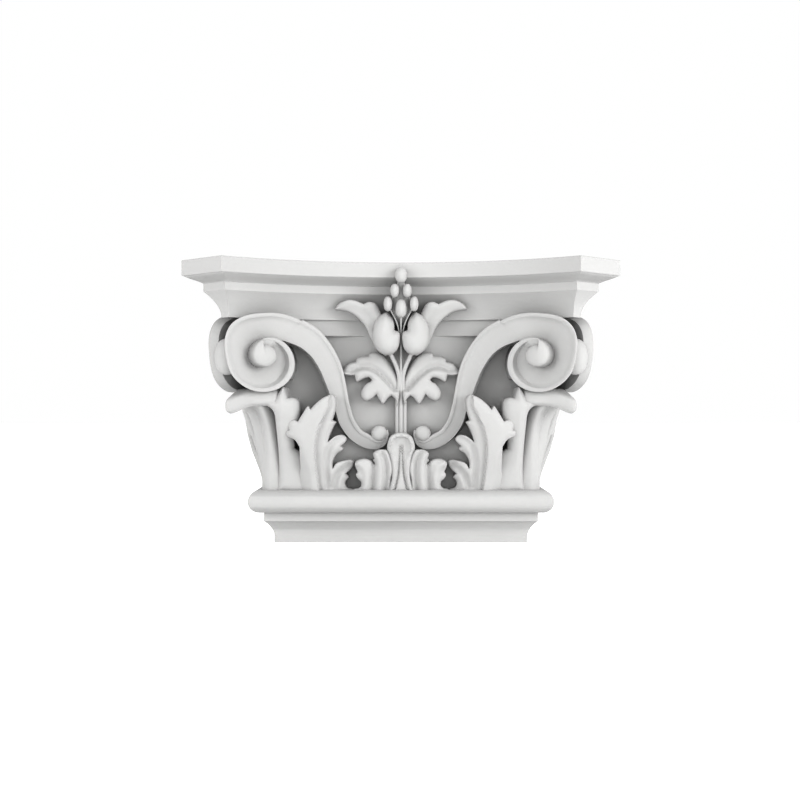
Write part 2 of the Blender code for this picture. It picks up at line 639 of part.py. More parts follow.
def leaf_head():
    """The head of the corner leaf, turned over outwards under the scrolls."""
    front = from_corner(smooth_curve((LEAF_HEAD_TIP,) + LEAF_HEAD_FRONT, EDGE_STEP))
    half = np.vstack([front, from_corner(LEAF_HEAD_INNER)])
    side = np.column_stack([DIAGONAL - half[-2:0:-1, 1], DIAGONAL - half[-2:0:-1, 0]])
    ring = np.vstack([half, side])
    anchor = half[-1]
    reach = np.linalg.norm(ring - anchor, axis=1)
    droop = LEAF_HEAD_DROOP * np.exp(-((np.linalg.norm(ring - ring[0], axis=1) / LEAF_HEAD_NOSE) ** 2))
    rings = []
    for height, inset in smooth_curve(LEAF_HEAD_LEVELS, pieces=LEVEL_PIECES):
        share = np.where(reach > LEAF_HEAD_KEEP, 1 - inset / np.maximum(reach, 1), 1)[:, None]
        plan = anchor + (ring - anchor) * share
        rings.append(np.column_stack([plan, placed([(SHAFT_HALF, height)])[0, 1] - droop]))
    return loft(rings)


HALF_LEAF_LOBES = [
    [(37.5, 40.0), (38.6, 42.6), (42.0, 43.4), (43.9, 46.0), (43.4, 49.0), (41.0, 52.0)],
    [(43.4, 54.8), (39.3, 58.6), (37.0, 63.6), (40.2, 65.7), (47.6, 64.6), (51.3, 62.8)],
    [(53.5, 59.4), (53.6, 64.5), (50.6, 70.4), (45.6, 74.0)],
    [(47.2, 76.6), (43.8, 79.8), (43.0, 82.8), (46.0, 85.3), (50.6, 85.0), (54.6, 82.4)],
    [(56.9, 80.4), (55.3, 86.5), (52.3, 93.2), (50.9, 95.4)],
    [(53.8, 97.0), (51.4, 105.0), (50.8, 112.0), (53.6, 116.9), (60.5, 114.4), (66.5, 109.6)],
    [(70.1, 105.6), (72.2, 108.1), (76.0, 102.8)],
    [(79.9, 96.3), (83.4, 97.4), (87.1, 95.6), (87.8, 92.6)],
    [(86.6, 89.6), (89.4, 88.0), (88.3, 84.7), (82.8, 81.8)],
    [(79.2, 76.5), (79.0, 60.0), (79.0, 40.0)],
]
HALF_LEAF_OUT = ((40.0, 18.5), (52.0, 20.5), (64.0, 24.5), (76.0, 28.5), (98.0, 33.0), (117.0, 35.0))
HALF_LEAF_RIDGE = ((40.0, 68.5), (58.0, 71.5), (72.0, 74.5), (86.0, 73.0), (101.0, 67.0), (117.0, 58.0))
HALF_LEAF_FOLD = ((42.0, 63.5), (58.0, 65.5), (74.0, 66.5), (88.0, 64.5), (98.0, 60.5), (108.0, 55.0))
HALF_LEAF_FOLD_DEPTH = 3.4
HALF_LEAF_FOLD_REACH = 9.0
HALF_LEAF_VALLEYS = (((57.5, 44.0), (58.5, 60.0), (56.5, 74.0), (52.0, 80.0), (46.0, 83.0)),
                     ((53.0, 44.0), (49.5, 54.0), (41.0, 62.5)))
HALF_LEAF_JOINED = ((40.0, 0.35), (66.0, 0.35), (74.0, 0.17), (82.0, 0.0), (117.0, 0.0))
HALF_LEAF_ROUND = 0.009
HALF_LEAF_EDGE = (2.6, 5.0)
HALF_LEAF_VALLEY = (2.4, 4.0)


def half_leaf():
    """The leaf that stands beside the corner leaf and leans out at its tip."""
    outline = lobed_outline(HALF_LEAF_LOBES)

    def face(points, edge_distance):
        x, z = points.T
        off_ridge = x - profile(z, HALF_LEAF_RIDGE)
        low = profile(z, HALF_LEAF_JOINED)
        out = profile(z, HALF_LEAF_OUT) - HALF_LEAF_ROUND * off_ridge ** 2 - low * np.clip(off_ridge, 0, None)
        past_fold = profile(z, HALF_LEAF_FOLD) - x + 1
        fading = np.exp(-np.clip(past_fold, 0, None) / HALF_LEAF_FOLD_REACH)
        fold = HALF_LEAF_FOLD_DEPTH * ease(past_fold) * fading
        out -= edge_drop(edge_distance, HALF_LEAF_EDGE) + fold
        for valley in HALF_LEAF_VALLEYS:
            out -= ridge(points, valley, HALF_LEAF_VALLEY)
        return out

    return carving(outline, face, [upright(HALF_LEAF_RIDGE), upright(HALF_LEAF_FOLD), *HALF_LEAF_VALLEYS])


LOW_LEAF_LOBES = [
    [(7.0, 40.0), (7.6, 50.0), (6.0, 58.0), (8.0, 66.0), (10.9, 72.9), (13.7, 73.8), (18.2, 73.6),
     (21.6, 71.4), (21.6, 68.4)],
    [(20.7, 66.6), (22.3, 65.6)],
    [(20.9, 62.8), (24.2, 65.5), (29.1, 66.7), (34.0, 65.6), (36.3, 63.4), (35.8, 60.2)],
    [(34.2, 56.4), (35.5, 53.9), (34.2, 51.2), (31.6, 48.4), (31.5, 45.2), (33.6, 43.2), (37.0, 42.6),
     (37.6, 40.0)],
]
LOW_LEAF_RIDGES = (((17.6, 42.0), (16.3, 54.0), (17.0, 64.0), (19.0, 70.0)),
                   ((28.5, 43.0), (27.0, 52.0), (29.0, 60.0), (33.0, 63.0)))
LOW_LEAF_VALLEYS = (((22.6, 42.0), (21.8, 54.0), (21.0, 64.0)),
                    ((12.4, 42.0), (11.6, 56.0), (12.6, 66.0), (15.0, 71.0)))
LOW_LEAF_RIDGE = (1.6, 4.5)
LOW_LEAF_VALLEY = (2.2, 3.4)
LOW_LEAF_EDGE = (2.6, 3.5)
LOW_LEAF_OUT = ((40.0, 16.0), (58.0, 18.0), (74.0, 20.0))


def low_leaf():
    """The small leaf between the arch and the half leaf."""
    outline = lobed_outline(LOW_LEAF_LOBES)

    def face(points, edge_distance):
        out = profile(points[:, 1], LOW_LEAF_OUT) - edge_drop(edge_distance, LOW_LEAF_EDGE)
        for line in LOW_LEAF_RIDGES:
            out += ridge(points, line, LOW_LEAF_RIDGE)
        for line in LOW_LEAF_VALLEYS:
            out -= ridge(points, line, LOW_LEAF_VALLEY)
        return out

    return carving(outline, face, LOW_LEAF_RIDGES + LOW_LEAF_VALLEYS)


CALYX_HALF = ((0.0, 87.4), (4.2, 86.6), (8.6, 83.8), (10.6, 79.0), (10.9, 73.4), (8.4, 65.4), (6.9, 57.0),
              (7.6, 49.4), (9.6, 40.0))
TONGUE_HALF_WIDTHS = ((40.0, 5.4), (46.0, 4.0), (55.0, 2.1), (66.0, 1.4), (78.0, 0.7))
ARCH_LEG = ((40.0, 8.4), (50.0, 6.2), (60.0, 5.4), (72.0, 6.4), (82.0, 7.6))
CALYX_OUT = 17.5
CALYX_EDGE = (2.0, 2.6)
TONGUE_TOP = 79.0
GROOVE_DEPTH = 2.0
GROOVE_WIDTH = 1.4
ARCH_LEG_RISE = 1.2
ARCH_LEG_WIDTH = 3.0
ARCH_RIM = 2.8
ARCH_HOLLOW_DEPTH = 2.4
ARCH_HOLLOW_FROM = 66.0


def calyx():
    """The arch at the foot of the flower's stems, with a tongue in it."""
    half = smooth_curve(CALYX_HALF, EDGE_STEP)
    outline = np.vstack([half, half[:0:-1] * (-1, 1)])

    def face(points, edge_distance):
        off, z = np.abs(points[:, 0]), points[:, 1]
        tongue_edge = profile(z, TONGUE_HALF_WIDTHS)
        groove = GROOVE_DEPTH * hump((off - tongue_edge) / GROOVE_WIDTH) * ease((TONGUE_TOP - z) / 3)
        leg = ARCH_LEG_RISE * hump((off - profile(z, ARCH_LEG)) / ARCH_LEG_WIDTH)
        hollow = ARCH_HOLLOW_DEPTH * ease((edge_distance - ARCH_RIM) / 1.2) * ease((z - ARCH_HOLLOW_FROM) / 8)
        return CALYX_OUT - edge_drop(edge_distance, CALYX_EDGE) + leg - groove - hollow

    return carving(outline, face, [upright(ARCH_LEG), upright(TONGUE_HALF_WIDTHS)])


# Flower

FLOWER_LEAF_LOBES = [
    [(3.0, 108.0), (4.6, 113.5)],
    [(7.6, 116.3), (10.0, 114.6), (14.2, 109.7), (17.2, 113.2)],
    [(19.4, 117.2), (23.6, 113.6), (28.0, 112.2), (31.3, 115.2), (31.2, 120.6), (27.6, 125.6), (24.4, 127.3)],
    [(23.3, 128.8), (25.3, 130.6), (29.0, 130.0), (33.0, 128.0), (35.3, 127.2)],
    [(36.9, 132.4), (42.0, 132.3), (46.2, 134.0), (45.8, 137.2), (41.6, 141.6)],
    [(35.9, 143.2), (35.5, 145.4), (31.6, 147.3)],
    [(25.6, 147.8), (24.6, 149.9), (20.4, 150.6), (15.8, 149.2), (11.0, 145.6), (6.2, 138.6), (2.2, 128.6),
     (1.2, 118.0)],
]
FLOWER_LEAF_FOLD = ((6.0, 121.5), (11.5, 128.0), (17.0, 133.5), (24.0, 138.0), (31.0, 138.5), (39.0, 136.0))
FLOWER_LEAF_OUT = 7.5
FLOWER_LEAF_RAISE = 4.2
FLOWER_LEAF_FURROW = (1.4, 5.0)
FLOWER_LEAF_EDGE = (3.4, 5.0)


def flower_leaf():
    outline = lobed_outline(FLOWER_LEAF_LOBES)

    def face(points, edge_distance):
        fold_x, fold_z = smooth_curve(FLOWER_LEAF_FOLD, 1.0).T
        below = np.interp(points[:, 0], fold_x, fold_z) - points[:, 1]
        raised = FLOWER_LEAF_RAISE * ease((below + 1.0) / FLOWER_LEAF_RAISE)
        fold = ridge(points, FLOWER_LEAF_FOLD, FLOWER_LEAF_FURROW)
        return FLOWER_LEAF_OUT + raised - fold - edge_drop(edge_distance, FLOWER_LEAF_EDGE)

    return carving(outline, face, [FLOWER_LEAF_FOLD])


PETAL_LOBES = [
    [(52.0, 183.9), (48.6, 188.4), (41.6, 191.3), (35.2, 190.6)],
    [(29.4, 188.2), (25.0, 189.8), (20.2, 188.6), (17.3, 184.6), (14.0, 176.0), (11.0, 160.0), (10.8, 148.6),
     (14.8, 149.2), (20.2, 154.0), (24.2, 162.4), (28.0, 170.4), (34.0, 177.4), (42.0, 182.4)],
]
PETAL_OUT = ((148.0, 13.0), (165.0, 15.0), (180.0, 19.0), (191.0, 22.0))
PETAL_FURROW = (1.2, 6.0)
PETAL_EDGE = (3.2, 5.5)
PETAL_FOLD = ((15.0, 152.0), (20.0, 166.0), (27.0, 178.0), (38.0, 185.0), (48.0, 186.0))


def petal():
    outline = lobed_outline(PETAL_LOBES)

    def face(points, edge_distance):
        fold = ridge(points, PETAL_FOLD, PETAL_FURROW)
        return profile(points[:, 1], PETAL_OUT) - edge_drop(edge_distance, PETAL_EDGE) - fold

    return carving(outline, face, [PETAL_FOLD])


BUD_OUTLINE = [
    [(11.2, 182.2), (7.0, 178.0), (5.2, 172.6), (4.9, 167.8)],
    [(3.0, 167.2), (0.9, 165.2), (0.4, 161.0), (1.9, 154.2), (5.0, 150.2), (9.5, 148.2), (15.6, 149.6),
     (20.4, 155.0), (22.4, 163.0), (21.2, 172.0), (16.8, 178.8)],
]
BUD_OUT = 17.0
BUD_SWELL = 7.5
BUD_ROUND = 9.5


def bud():
    outline = lobed_outline(BUD_OUTLINE)

    def face(points, edge_distance):
        return BUD_OUT + BUD_SWELL * dome(edge_distance, BUD_ROUND)

    return carving(outline, face)


GRAPE_Y = ABACUS_CORNER_Y + ABACUS_HOLLOW - 3.75
GRAPE_BEHIND = 5.6
GRAPE_LEAN = 0.14
GRAPES = ((0.0, 209.8, 4.7, 6.2), (4.8, 197.9, 3.6, 5.4), (10.2, 187.7, 3.5, 5.9), (0.0, 184.3, 4.6, 7.3))
CORE_FOOT_OUT = 4.0
CORE = ((184.0, 12.0), (194.0, 11.0), (206.0, 6.0))
CORE_FOOT = 176.0
CORE_RADII = (7.0, 8.0, 7.0, 2.4)
STEM_Y = SHAFT_FRONT - 0.25
STEM_RADIUS = 1.7
STALK_RADIUS = 0.7
MIDDLE_STEM = ((0.0, 0.0, 84.0), (0.0, 0.0, 105.0), (0.0, 0.0, 130.0), (0.0, 6.0, 160.0))
MIDDLE_STEM_TOP = (0.0, 180.0)
STEM_THINS = (130.0, 160.0)
OUTER_STEM = ((2.9, -1.0, 84.0), (2.9, -1.0, 112.0), (1.4, 0.0, 128.0), (3.2, 2.0, 138.0), (6.6, 5.0, 146.0),
              (10.0, 9.0, 153.0))
STALK = ((1.0, 7.0, 164.0), (3.5, 12.0, 174.0))
STALK_TOP = (8.6, 184.0)


def on_bunch(x, z):
    """A drawn place in the bunch of grapes, which hangs further forward towards its top."""
    return x, GRAPE_Y + GRAPE_LEAN * (GRAPES[0][1] - z), placed([(x, z)])[0, 1]


def grapes():
    """The bunch of grapes over the flower, from its middle to the right, and the core that carries it."""
    found = [egg(on_bunch(x, z), (width, GRAPE_BEHIND, height)) for x, z, width, height in GRAPES]
    path = [(0, BELL_FRONT - CORE_FOOT_OUT, placed([(0, CORE_FOOT)])[0, 1])]
    path += [(0, GRAPE_Y + behind, placed([(0, z)])[0, 1]) for z, behind in CORE]
    return found + [rod(path, CORE_RADII, CORE_SIDES)]


def stem_path(drawn, top=None):
    """A stem's path through (x, out, z) points, up to a place in the bunch of grapes if it ends there."""
    x, out, z = np.array(drawn).T
    path = np.column_stack([x, STEM_Y - out, placed(np.column_stack([x, z]))[:, 1]])
    if top:
        path = np.vstack([path, on_bunch(*top)])
    return smooth_curve(path, STEM_STEP)


def flower_stems():
    """Three stems that run side by side up to the flower, as its middle one and its right one."""
    middle = stem_path(MIDDLE_STEM, MIDDLE_STEM_TOP)
    thinning = placed([(0, z) for z in STEM_THINS])[:, 1]
    thinned = np.interp(middle[:, 2], thinning, (STEM_RADIUS, STALK_RADIUS))
    return [rod(middle, thinned), rod(stem_path(OUTER_STEM), STEM_RADIUS),
            rod(stem_path(STALK, STALK_TOP), STALK_RADIUS)]


# The whole

def add_object(name, shape, collection=None):
    """A mesh object from points in millimetres, with its faces turned out."""
    points, faces = shape
    mesh = bpy.data.meshes.new(name)
    mesh.from_pydata((np.asarray(points) * MM).tolist(), [], [list(map(int, face)) for face in faces])
    edited = bmesh.new()
    edited.from_mesh(mesh)
    bmesh.ops.remove_doubles(edited, verts=edited.verts, dist=1e-6)
    bmesh.ops.triangulate(edited, faces=edited.faces)
    bmesh.ops.recalc_face_normals(edited, faces=edited.faces)
    edited.to_mesh(mesh)
    edited.free()
    for polygon in mesh.polygons:
        polygon.use_smooth = True
    mesh.set_sharp_from_angle(angle=SMOOTH_ANGLE)
    made = bpy.data.objects.new(name, mesh)
    (collection or bpy.context.scene.collection).objects.link(made)
    return made


def main():
    for old in list(bpy.data.objects):
        bpy.data.objects.remove(old)
    carvings = bpy.data.collections.new("carvings")
    bpy.context.scene.collection.children.link(carvings)
    for name, shape in (("lip", lip()), ("base", base()), ("bell", bell()), ("calyx", calyx())):
        add_object(name, shape, carvings)
    halves = {"corner_stem": corner_stem(), "pillow": pillow(), "leaf_head": leaf_head(),
              "low_leaf": low_leaf(), "petal": petal(), "flower_leaf": flower_leaf(), "bud": bud(),
              "curl": curl(), "scroll": scroll(), "half_leaf": half_leaf(), "corner_leaf": corner_leaf()}
    halves.update({f"stem_{i}": shape for i, shape in enumerate(flower_stems())})
    halves.update({f"grape_{i}": shape for i, shape in enumerate(grapes())})
    for name in ("scroll", "half_leaf", "corner_leaf"):
        halves[name + "_side"] = round_the_corner(halves[name])
    for name, shape in halves.items():
        add_object(name + "_right", shape, carvings)
        if abs(np.asarray(shape[0])[:, 0].mean()) > 1e-6:
            add_object(name + "_left", mirrored(shape), carvings)

    capital = add_object("capital", abacus())
    join = capital.modifiers.new("carvings", "BOOLEAN")
    join.operation = "UNION"
    join.operand_type = "COLLECTION"
    join.collection = carvings

    # Everything beyond the wall is cut away
    block = 10 * SHAFT_WIDTH
    corners = np.array([(-block, WALL_Y), (block, WALL_Y), (block, WALL_Y + block), (-block, WALL_Y + block)])
    behind = add_object("behind_wall", loft([np.column_stack([corners, np.full(4, height)])
                                             for height in (-block, block)]))
    cut = capital.modifiers.new("wall", "BOOLEAN")
    cut.operation = "DIFFERENCE"
    cut.object = behind
    for helper in list(carvings.objects) + [behind]:
        helper.hide_render = True
        helper.display_type = "WIRE"

    plaster = bpy.data.materials.new("plaster")
    plaster.use_nodes = True
    shader = plaster.node_tree.nodes["Principled BSDF"]
    shader.inputs["Base Color"].default_value = (0.83, 0.83, 0.82, 1)
    shader.inputs["Roughness"].default_value = 0.6
    capital.data.materials.append(plaster)


main()
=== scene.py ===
# %% [markdown]
# # A cast plaster capital for a flat wall pilaster, in the corinthian manner
#
# The real thing is one casting. It was modelled once, moulded in rubber and poured in plaster. The plain
# mouldings at its top and foot were run with a template, and everything between them was carved. This
# script works the same way. Mouldings are profiles carried round a plan. Carvings are outlines filled with
# a close net of points, each point set forward by a rule that says how the face swells and folds. At the
# end all of them are joined into one closed skin, as the plaster is.

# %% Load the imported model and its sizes
import json
import math

import bmesh
import bpy
import numpy as np
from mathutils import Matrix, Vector
from mathutils.geometry import delaunay_2d_cdt

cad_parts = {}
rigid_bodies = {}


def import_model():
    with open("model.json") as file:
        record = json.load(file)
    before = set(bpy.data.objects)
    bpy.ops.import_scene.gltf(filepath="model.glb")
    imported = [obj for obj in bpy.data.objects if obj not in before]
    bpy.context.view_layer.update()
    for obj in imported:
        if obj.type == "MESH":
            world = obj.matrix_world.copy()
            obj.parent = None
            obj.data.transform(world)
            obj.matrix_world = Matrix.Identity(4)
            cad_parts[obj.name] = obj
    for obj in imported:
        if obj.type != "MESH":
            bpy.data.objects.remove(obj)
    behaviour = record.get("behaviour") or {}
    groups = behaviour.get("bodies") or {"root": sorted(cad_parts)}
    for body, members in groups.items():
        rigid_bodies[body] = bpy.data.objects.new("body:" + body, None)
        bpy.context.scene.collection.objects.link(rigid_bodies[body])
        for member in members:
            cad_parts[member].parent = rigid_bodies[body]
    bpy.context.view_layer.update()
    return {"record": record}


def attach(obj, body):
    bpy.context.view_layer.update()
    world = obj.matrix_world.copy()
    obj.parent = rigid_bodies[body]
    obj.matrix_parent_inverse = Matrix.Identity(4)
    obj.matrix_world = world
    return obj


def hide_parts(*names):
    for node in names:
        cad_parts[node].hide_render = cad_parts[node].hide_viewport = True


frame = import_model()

MM = 0.001
mounts = {mount["name"]: mount for mount in frame["record"]["mounts"]}
SHAFT_WIDTH = mounts["shaft_seat"]["dims"]["length_mm"]
WALL_Y = mounts["wall_face"]["pos_m"][1] / MM
HEIGHT = mounts["top_bed"]["pos_m"][2] / MM
SHAFT_HALF = SHAFT_WIDTH / 2
SHAFT_FRONT = -WALL_Y
print("shaft", SHAFT_WIDTH, "mm wide,", 2 * WALL_Y, "mm deep, capital", HEIGHT, "mm high")

# %% [markdown]
# ## Sizes
#
# The capital of a pilaster is half of a square one, pressed against a wall. Its corner scrolls stand out
# along the diagonal, so each corner is a mirror: what is carved on the front beside a corner is carved
# again on the short side. In plan, the mirror is the line x + y = DIAGONAL. Swapping x and y about that
# line gives the side from the front, and the wall cuts the side off.

# %% The sizes that the mouldings share
NECK_TOP = 42.3
ABACUS_HEIGHT = 44.0
BELL_TOP = HEIGHT - ABACUS_HEIGHT
BELL_RECESS = 6.2
BELL_FRONT = SHAFT_FRONT + BELL_RECESS
DIAGONAL = SHAFT_HALF + SHAFT_FRONT
BELL_HALF = DIAGONAL - BELL_FRONT
ROOT_DEPTH = 6.0
OVERLAP = 3.0
EDGE_STEP = 0.85
FACE_STEP = 1.15
DRAWN_HALF = 100.0
DRAWN_NECK_TOP = 42.3
DRAWN_BELL_TOP = 176.0
MIDDLE_PART = (25.0, 75.0)
LOWER_PART = (60.0, 125.0)


def placed(drawn):
    """Drawn (x, z) points on the real capital: the corner's carvings move with the shaft's corner."""
    x, z = np.asarray(drawn, float).T
    outward = np.interp(x, MIDDLE_PART, (0, 1))
    upward = np.interp(z, LOWER_PART, (0, 1))
    rise = (1 - upward) * (NECK_TOP - DRAWN_NECK_TOP) + upward * (BELL_TOP - DRAWN_BELL_TOP)
    return np.column_stack([x + outward * (SHAFT_HALF - DRAWN_HALF), z + rise])


def from_corner(offsets):
    """Plan points given to the right of the shaft's front corner and forward of it."""
    return np.asarray(offsets, float) * (1, -1) + (SHAFT_HALF, SHAFT_FRONT)


print("bell", 2 * BELL_HALF, "mm wide, corner mirror at x + y =", DIAGONAL)

# %% [markdown]
# ## Curves
#
# A carver draws a leaf as a few lobes that meet in sharp notches. So an outline here is a list of lobes,
# each with only the points that its shape needs, and a smooth curve is drawn through them.

# %% Smooth curves and outlines
def between(a, b, c, d, t):
    """A place a share t of the way from b to c, on the Catmull-Rom curve that also minds a and d."""
    return 0.5 * (2 * b + (c - a) * t + (2 * a - 5 * b + 4 * c - d) * t ** 2
                  + (3 * b - a - 3 * c + d) * t ** 3)


def smooth_curve(points, step=None, pieces=1):
    """A Catmull-Rom curve through the points, cut about a step apart or into equal pieces a span."""
    points = np.array(points, float)
    padded = np.vstack([2 * points[0] - points[1], points, 2 * points[-1] - points[-2]])
    found = []
    for i in range(len(points) - 1):
        a, b, c, d = padded[i:i + 4]
        cuts = max(1, round(float(np.linalg.norm(c - b)) / step)) if step else pieces
        t = (np.arange(cuts) / cuts)[:, None]
        found.append(between(a, b, c, d, t))
    return np.vstack(found + [points[-1:]])


def lobed_outline(lobes):
    """A closed outline: each lobe is a smooth curve, and lobes meet in sharp notches."""
    curves = [smooth_curve(lobe + following[:1], EDGE_STEP)[:-1]
              for lobe, following in zip(lobes, lobes[1:] + lobes[:1])]
    return np.vstack(curves)


print("halfway through 0, 1, 2 and 3:", between(0, 1, 2, 3, 0.5))

# %% Where a point lies: its distance to a line, and whether an outline holds it
def distance_to(points, curve):
    """Each point's distance to a line of points."""
    curve = np.array(curve, float)
    start, run = curve[:-1], curve[1:] - curve[:-1]
    share = ((points[:, None] - start) * run).sum(-1) / np.maximum((run ** 2).sum(-1), 1e-9)
    share = np.clip(share, 0, 1)
    return np.linalg.norm(points[:, None] - (start + share[..., None] * run), axis=-1).min(1)


def distance_to_edge(points, outline):
    """Each point's distance to a closed outline."""
    return distance_to(points, np.vstack([outline, outline[:1]]))


def inside(points, outline):
    """Whether each point is inside a closed outline."""
    x, z = points[:, :1], points[:, 1:]
    x1, z1 = outline.T
    x2, z2 = np.roll(outline, -1, 0).T
    rise = np.where(z2 == z1, 1.0, z2 - z1)
    crosses = ((z1 > z) != (z2 > z)) & (x < (x2 - x1) * (z - z1) / rise + x1)
    return crosses.sum(1) % 2 == 1


print("from (3, 4) to the line's end at (0, 0):", distance_to(np.array([(3, 4)]), [(0, 0), (0, -9)]))

# %% Soft steps, ridges and edges
LINE_STEP = 4.0
PROFILE_STEP = 1.0


def ease(x):
    """A smooth rise from 0 to 1."""
    x = np.clip(x, 0, 1)
    return x * x * (3 - 2 * x)


def hump(x):
    """A round hump: 1 at 0, falling smoothly to 0 at 1 either way."""
    return np.cos(0.5 * math.pi * np.clip(np.abs(x), 0, 1)) ** 2


def dome(distance, radius):
    """A quarter-round edge: 0 at the edge, rising to 1 a radius inside it."""
    x = 1 - np.clip(distance / radius, 0, 1)
    return np.sqrt(1 - x * x)


def ridge(points, line, shape):
    """A soft ridge along a line, its shape given as (height, width)."""
    height, width = shape
    return height * hump(distance_to(points, smooth_curve(line, LINE_STEP)) / width)


def edge_drop(edge_distance, shape):
    """How far a face drops towards its edge, given as (drop, width)."""
    drop, width = shape
    return drop * (1 - dome(edge_distance, width))


def profile(z, points):
    """A smooth curve through (height, value) points, read at each height."""
    heights, values = smooth_curve(points, PROFILE_STEP).T
    return np.interp(z, heights, values)


print("a dome of radius 5 has risen", round(float(dome(np.array(1.0), 5.0)), 2), "of its height at 1 mm")

# %% [markdown]
# ## Carved forms
#
# Each carving is a closed form of its own: a modelled front, sides straight back, and a root inside the
# bell. Points are closest at the edge, where a carved edge turns over fast, and evenly spaced inside.
# Closed forms matter because the joining at the end only works on them.

# %% A net of points in an outline, and a carving made of it
EDGE_RINGS = (0.35, 0.95, 1.8)
RING_CLEAR = 0.93
ROW_STEP = 0.87


def edge_rings(outline):
    """Rings of points that follow an outline a little way inside it."""
    ahead = np.roll(outline, -1, 0) - np.roll(outline, 1, 0)
    inward = np.column_stack([-ahead[:, 1], ahead[:, 0]]) / np.linalg.norm(ahead, axis=1)[:, None]
    x, z = outline.T
    if (x * np.roll(z, -1) - np.roll(x, -1) * z).sum() < 0:
        inward = -inward
    found = []
    for inset in EDGE_RINGS:
        ring = outline + inset * inward
        ring = ring[inside(ring, outline)]
        found.append(ring[distance_to_edge(ring, outline) > RING_CLEAR * inset])
    return np.vstack(found)


def filled(outline, step=None):
    """Points and triangles that fill an outline: on its edge alone, or with a net of points inside."""
    points = outline
    if step:
        low, high = outline.min(0), outline.max(0)
        grid = np.array([(x + (row % 2) * step / 2, z)
                         for row, z in enumerate(np.arange(low[1], high[1], step * ROW_STEP))
                         for x in np.arange(low[0], high[0], step)])
        grid = grid[inside(grid, outline)]
        clear = distance_to_edge(grid, outline) > EDGE_RINGS[-1] + 0.5 * step
        points = np.vstack([outline, edge_rings(outline), grid[clear]])
    made = delaunay_2d_cdt([tuple(p) for p in points], [], [list(range(len(outline)))], 1, 1e-6)
    first = [ids[0] for ids in made[3]]
    return points, [[first[v] for v in face] for face in made[2]]


def carving(outline, face):
    """A carving on the bell: an outline in (x, z), and how far its face stands out from the bell."""
    points, front_faces = filled(outline, FACE_STEP)
    x, z = placed(points).T
    front = np.column_stack([x, BELL_FRONT - face(points, distance_to_edge(points, outline)), z])
    back = front[:len(outline)] * (1, 0, 1) + (0, BELL_FRONT + ROOT_DEPTH, 0)
    count, first = len(outline), len(front)
    walls = [(i, (i + 1) % count, first + (i + 1) % count, first + i) for i in range(count)]
    cap = [[v + first for v in triangle] for triangle in filled(outline)[1]]
    return np.vstack([front, back]), front_faces + walls + cap


def carved(lobes, face):
    """A carving whose outline is given as lobes."""
    return carving(lobed_outline(lobes), face)


print("a carved edge has rings of points at", EDGE_RINGS, "mm inside it")

# %% Forms made of rings: lofts, balls and stems
FULLNESS = 0.85


def bands(count, rings):
    """The faces between rings of so many points, each ring joined to the next."""
    return [(k + i, k + (i + 1) % count, k + count + (i + 1) % count, k + count + i)
            for k in range(0, (rings - 1) * count, count) for i in range(count)]


def capped(rings):
    """Rings of equal length joined one to the next, with one face over each end."""
    count, last = len(rings[0]), (len(rings) - 1) * len(rings[0])
    return np.vstack(rings), bands(count, len(rings)) + [range(count), range(last, last + count)]


def loft(rings):
    """Rings of equal length joined one to the next, with a flat end on the first and the last."""
    last = (len(rings) - 1) * len(rings[0])
    faces = bands(len(rings[0]), len(rings))
    faces += filled(np.array(rings[0])[:, :2])[1]
    faces += [[v + last for v in face] for face in filled(np.array(rings[-1])[:, :2])[1]]
    return np.vstack(rings), faces


def egg(centre, radii, around=36, down=24):
    """A ball or an egg, upright."""
    rings = [(math.sin(tilt) ** FULLNESS * math.cos(turn), math.sin(tilt) ** FULLNESS * math.sin(turn),
              math.cos(tilt))
             for tilt in np.arange(1, down) * math.pi / down
             for turn in np.arange(around) * 2 * math.pi / around]
    points = np.array(rings + [(0, 0, 1), (0, 0, -1)]) * radii + centre
    top, bottom = len(rings), len(rings) + 1
    faces = bands(around, down - 1)
    faces += [(top, i, (i + 1) % around) for i in range(around)]
    faces += [(bottom, top - 1 - i, top - 1 - (i + 1) % around) for i in range(around)]
    return points, faces


def rod(path, radius, sides=18):
    """A round stem along a path."""
    path = np.array(path, float)
    run = np.gradient(path, axis=0)
    across = np.cross(run, (0.0, 1.0, 0.0))
    across /= np.linalg.norm(across, axis=1)[:, None]
    out = np.cross(across, run)
    out /= np.linalg.norm(out, axis=1)[:, None]
    radii = np.broadcast_to(radius, len(path))
    return capped([[place + size * (math.cos(turn) * a + math.sin(turn) * b)
                    for turn in np.arange(sides) * 2 * math.pi / sides]
                   for place, a, b, size in zip(path, across, out, radii)])


def mirrored(shape):
    """The left half from the right half."""
    return np.asarray(shape[0]) * (-1, 1, 1), shape[1]


def round_the_corner(shape):
    """The same carving on the short side: mirrored in the corner's diagonal."""
    x, y, z = np.asarray(shape[0]).T
    return np.column_stack([DIAGONAL - y, DIAGONAL - x, z]), shape[1]


print("a ball has", len(egg((0, 0, 0), (1, 1, 1))[0]), "points")

# %% [markdown]
# ## Abacus, bell and base
#
# The abacus is the thin slab on top. Its front is hollowed to an arc and its corners are cut off square to
# the diagonal, so a plan of it is one arc, one short chamfer and one arc of the side. Its moulding is a
# flat edge, a fillet set back, and a hollow. Below it the bell ends in a flat lip. The foot is a torus
# over a fillet and a hollow that dies into the plain shaft.

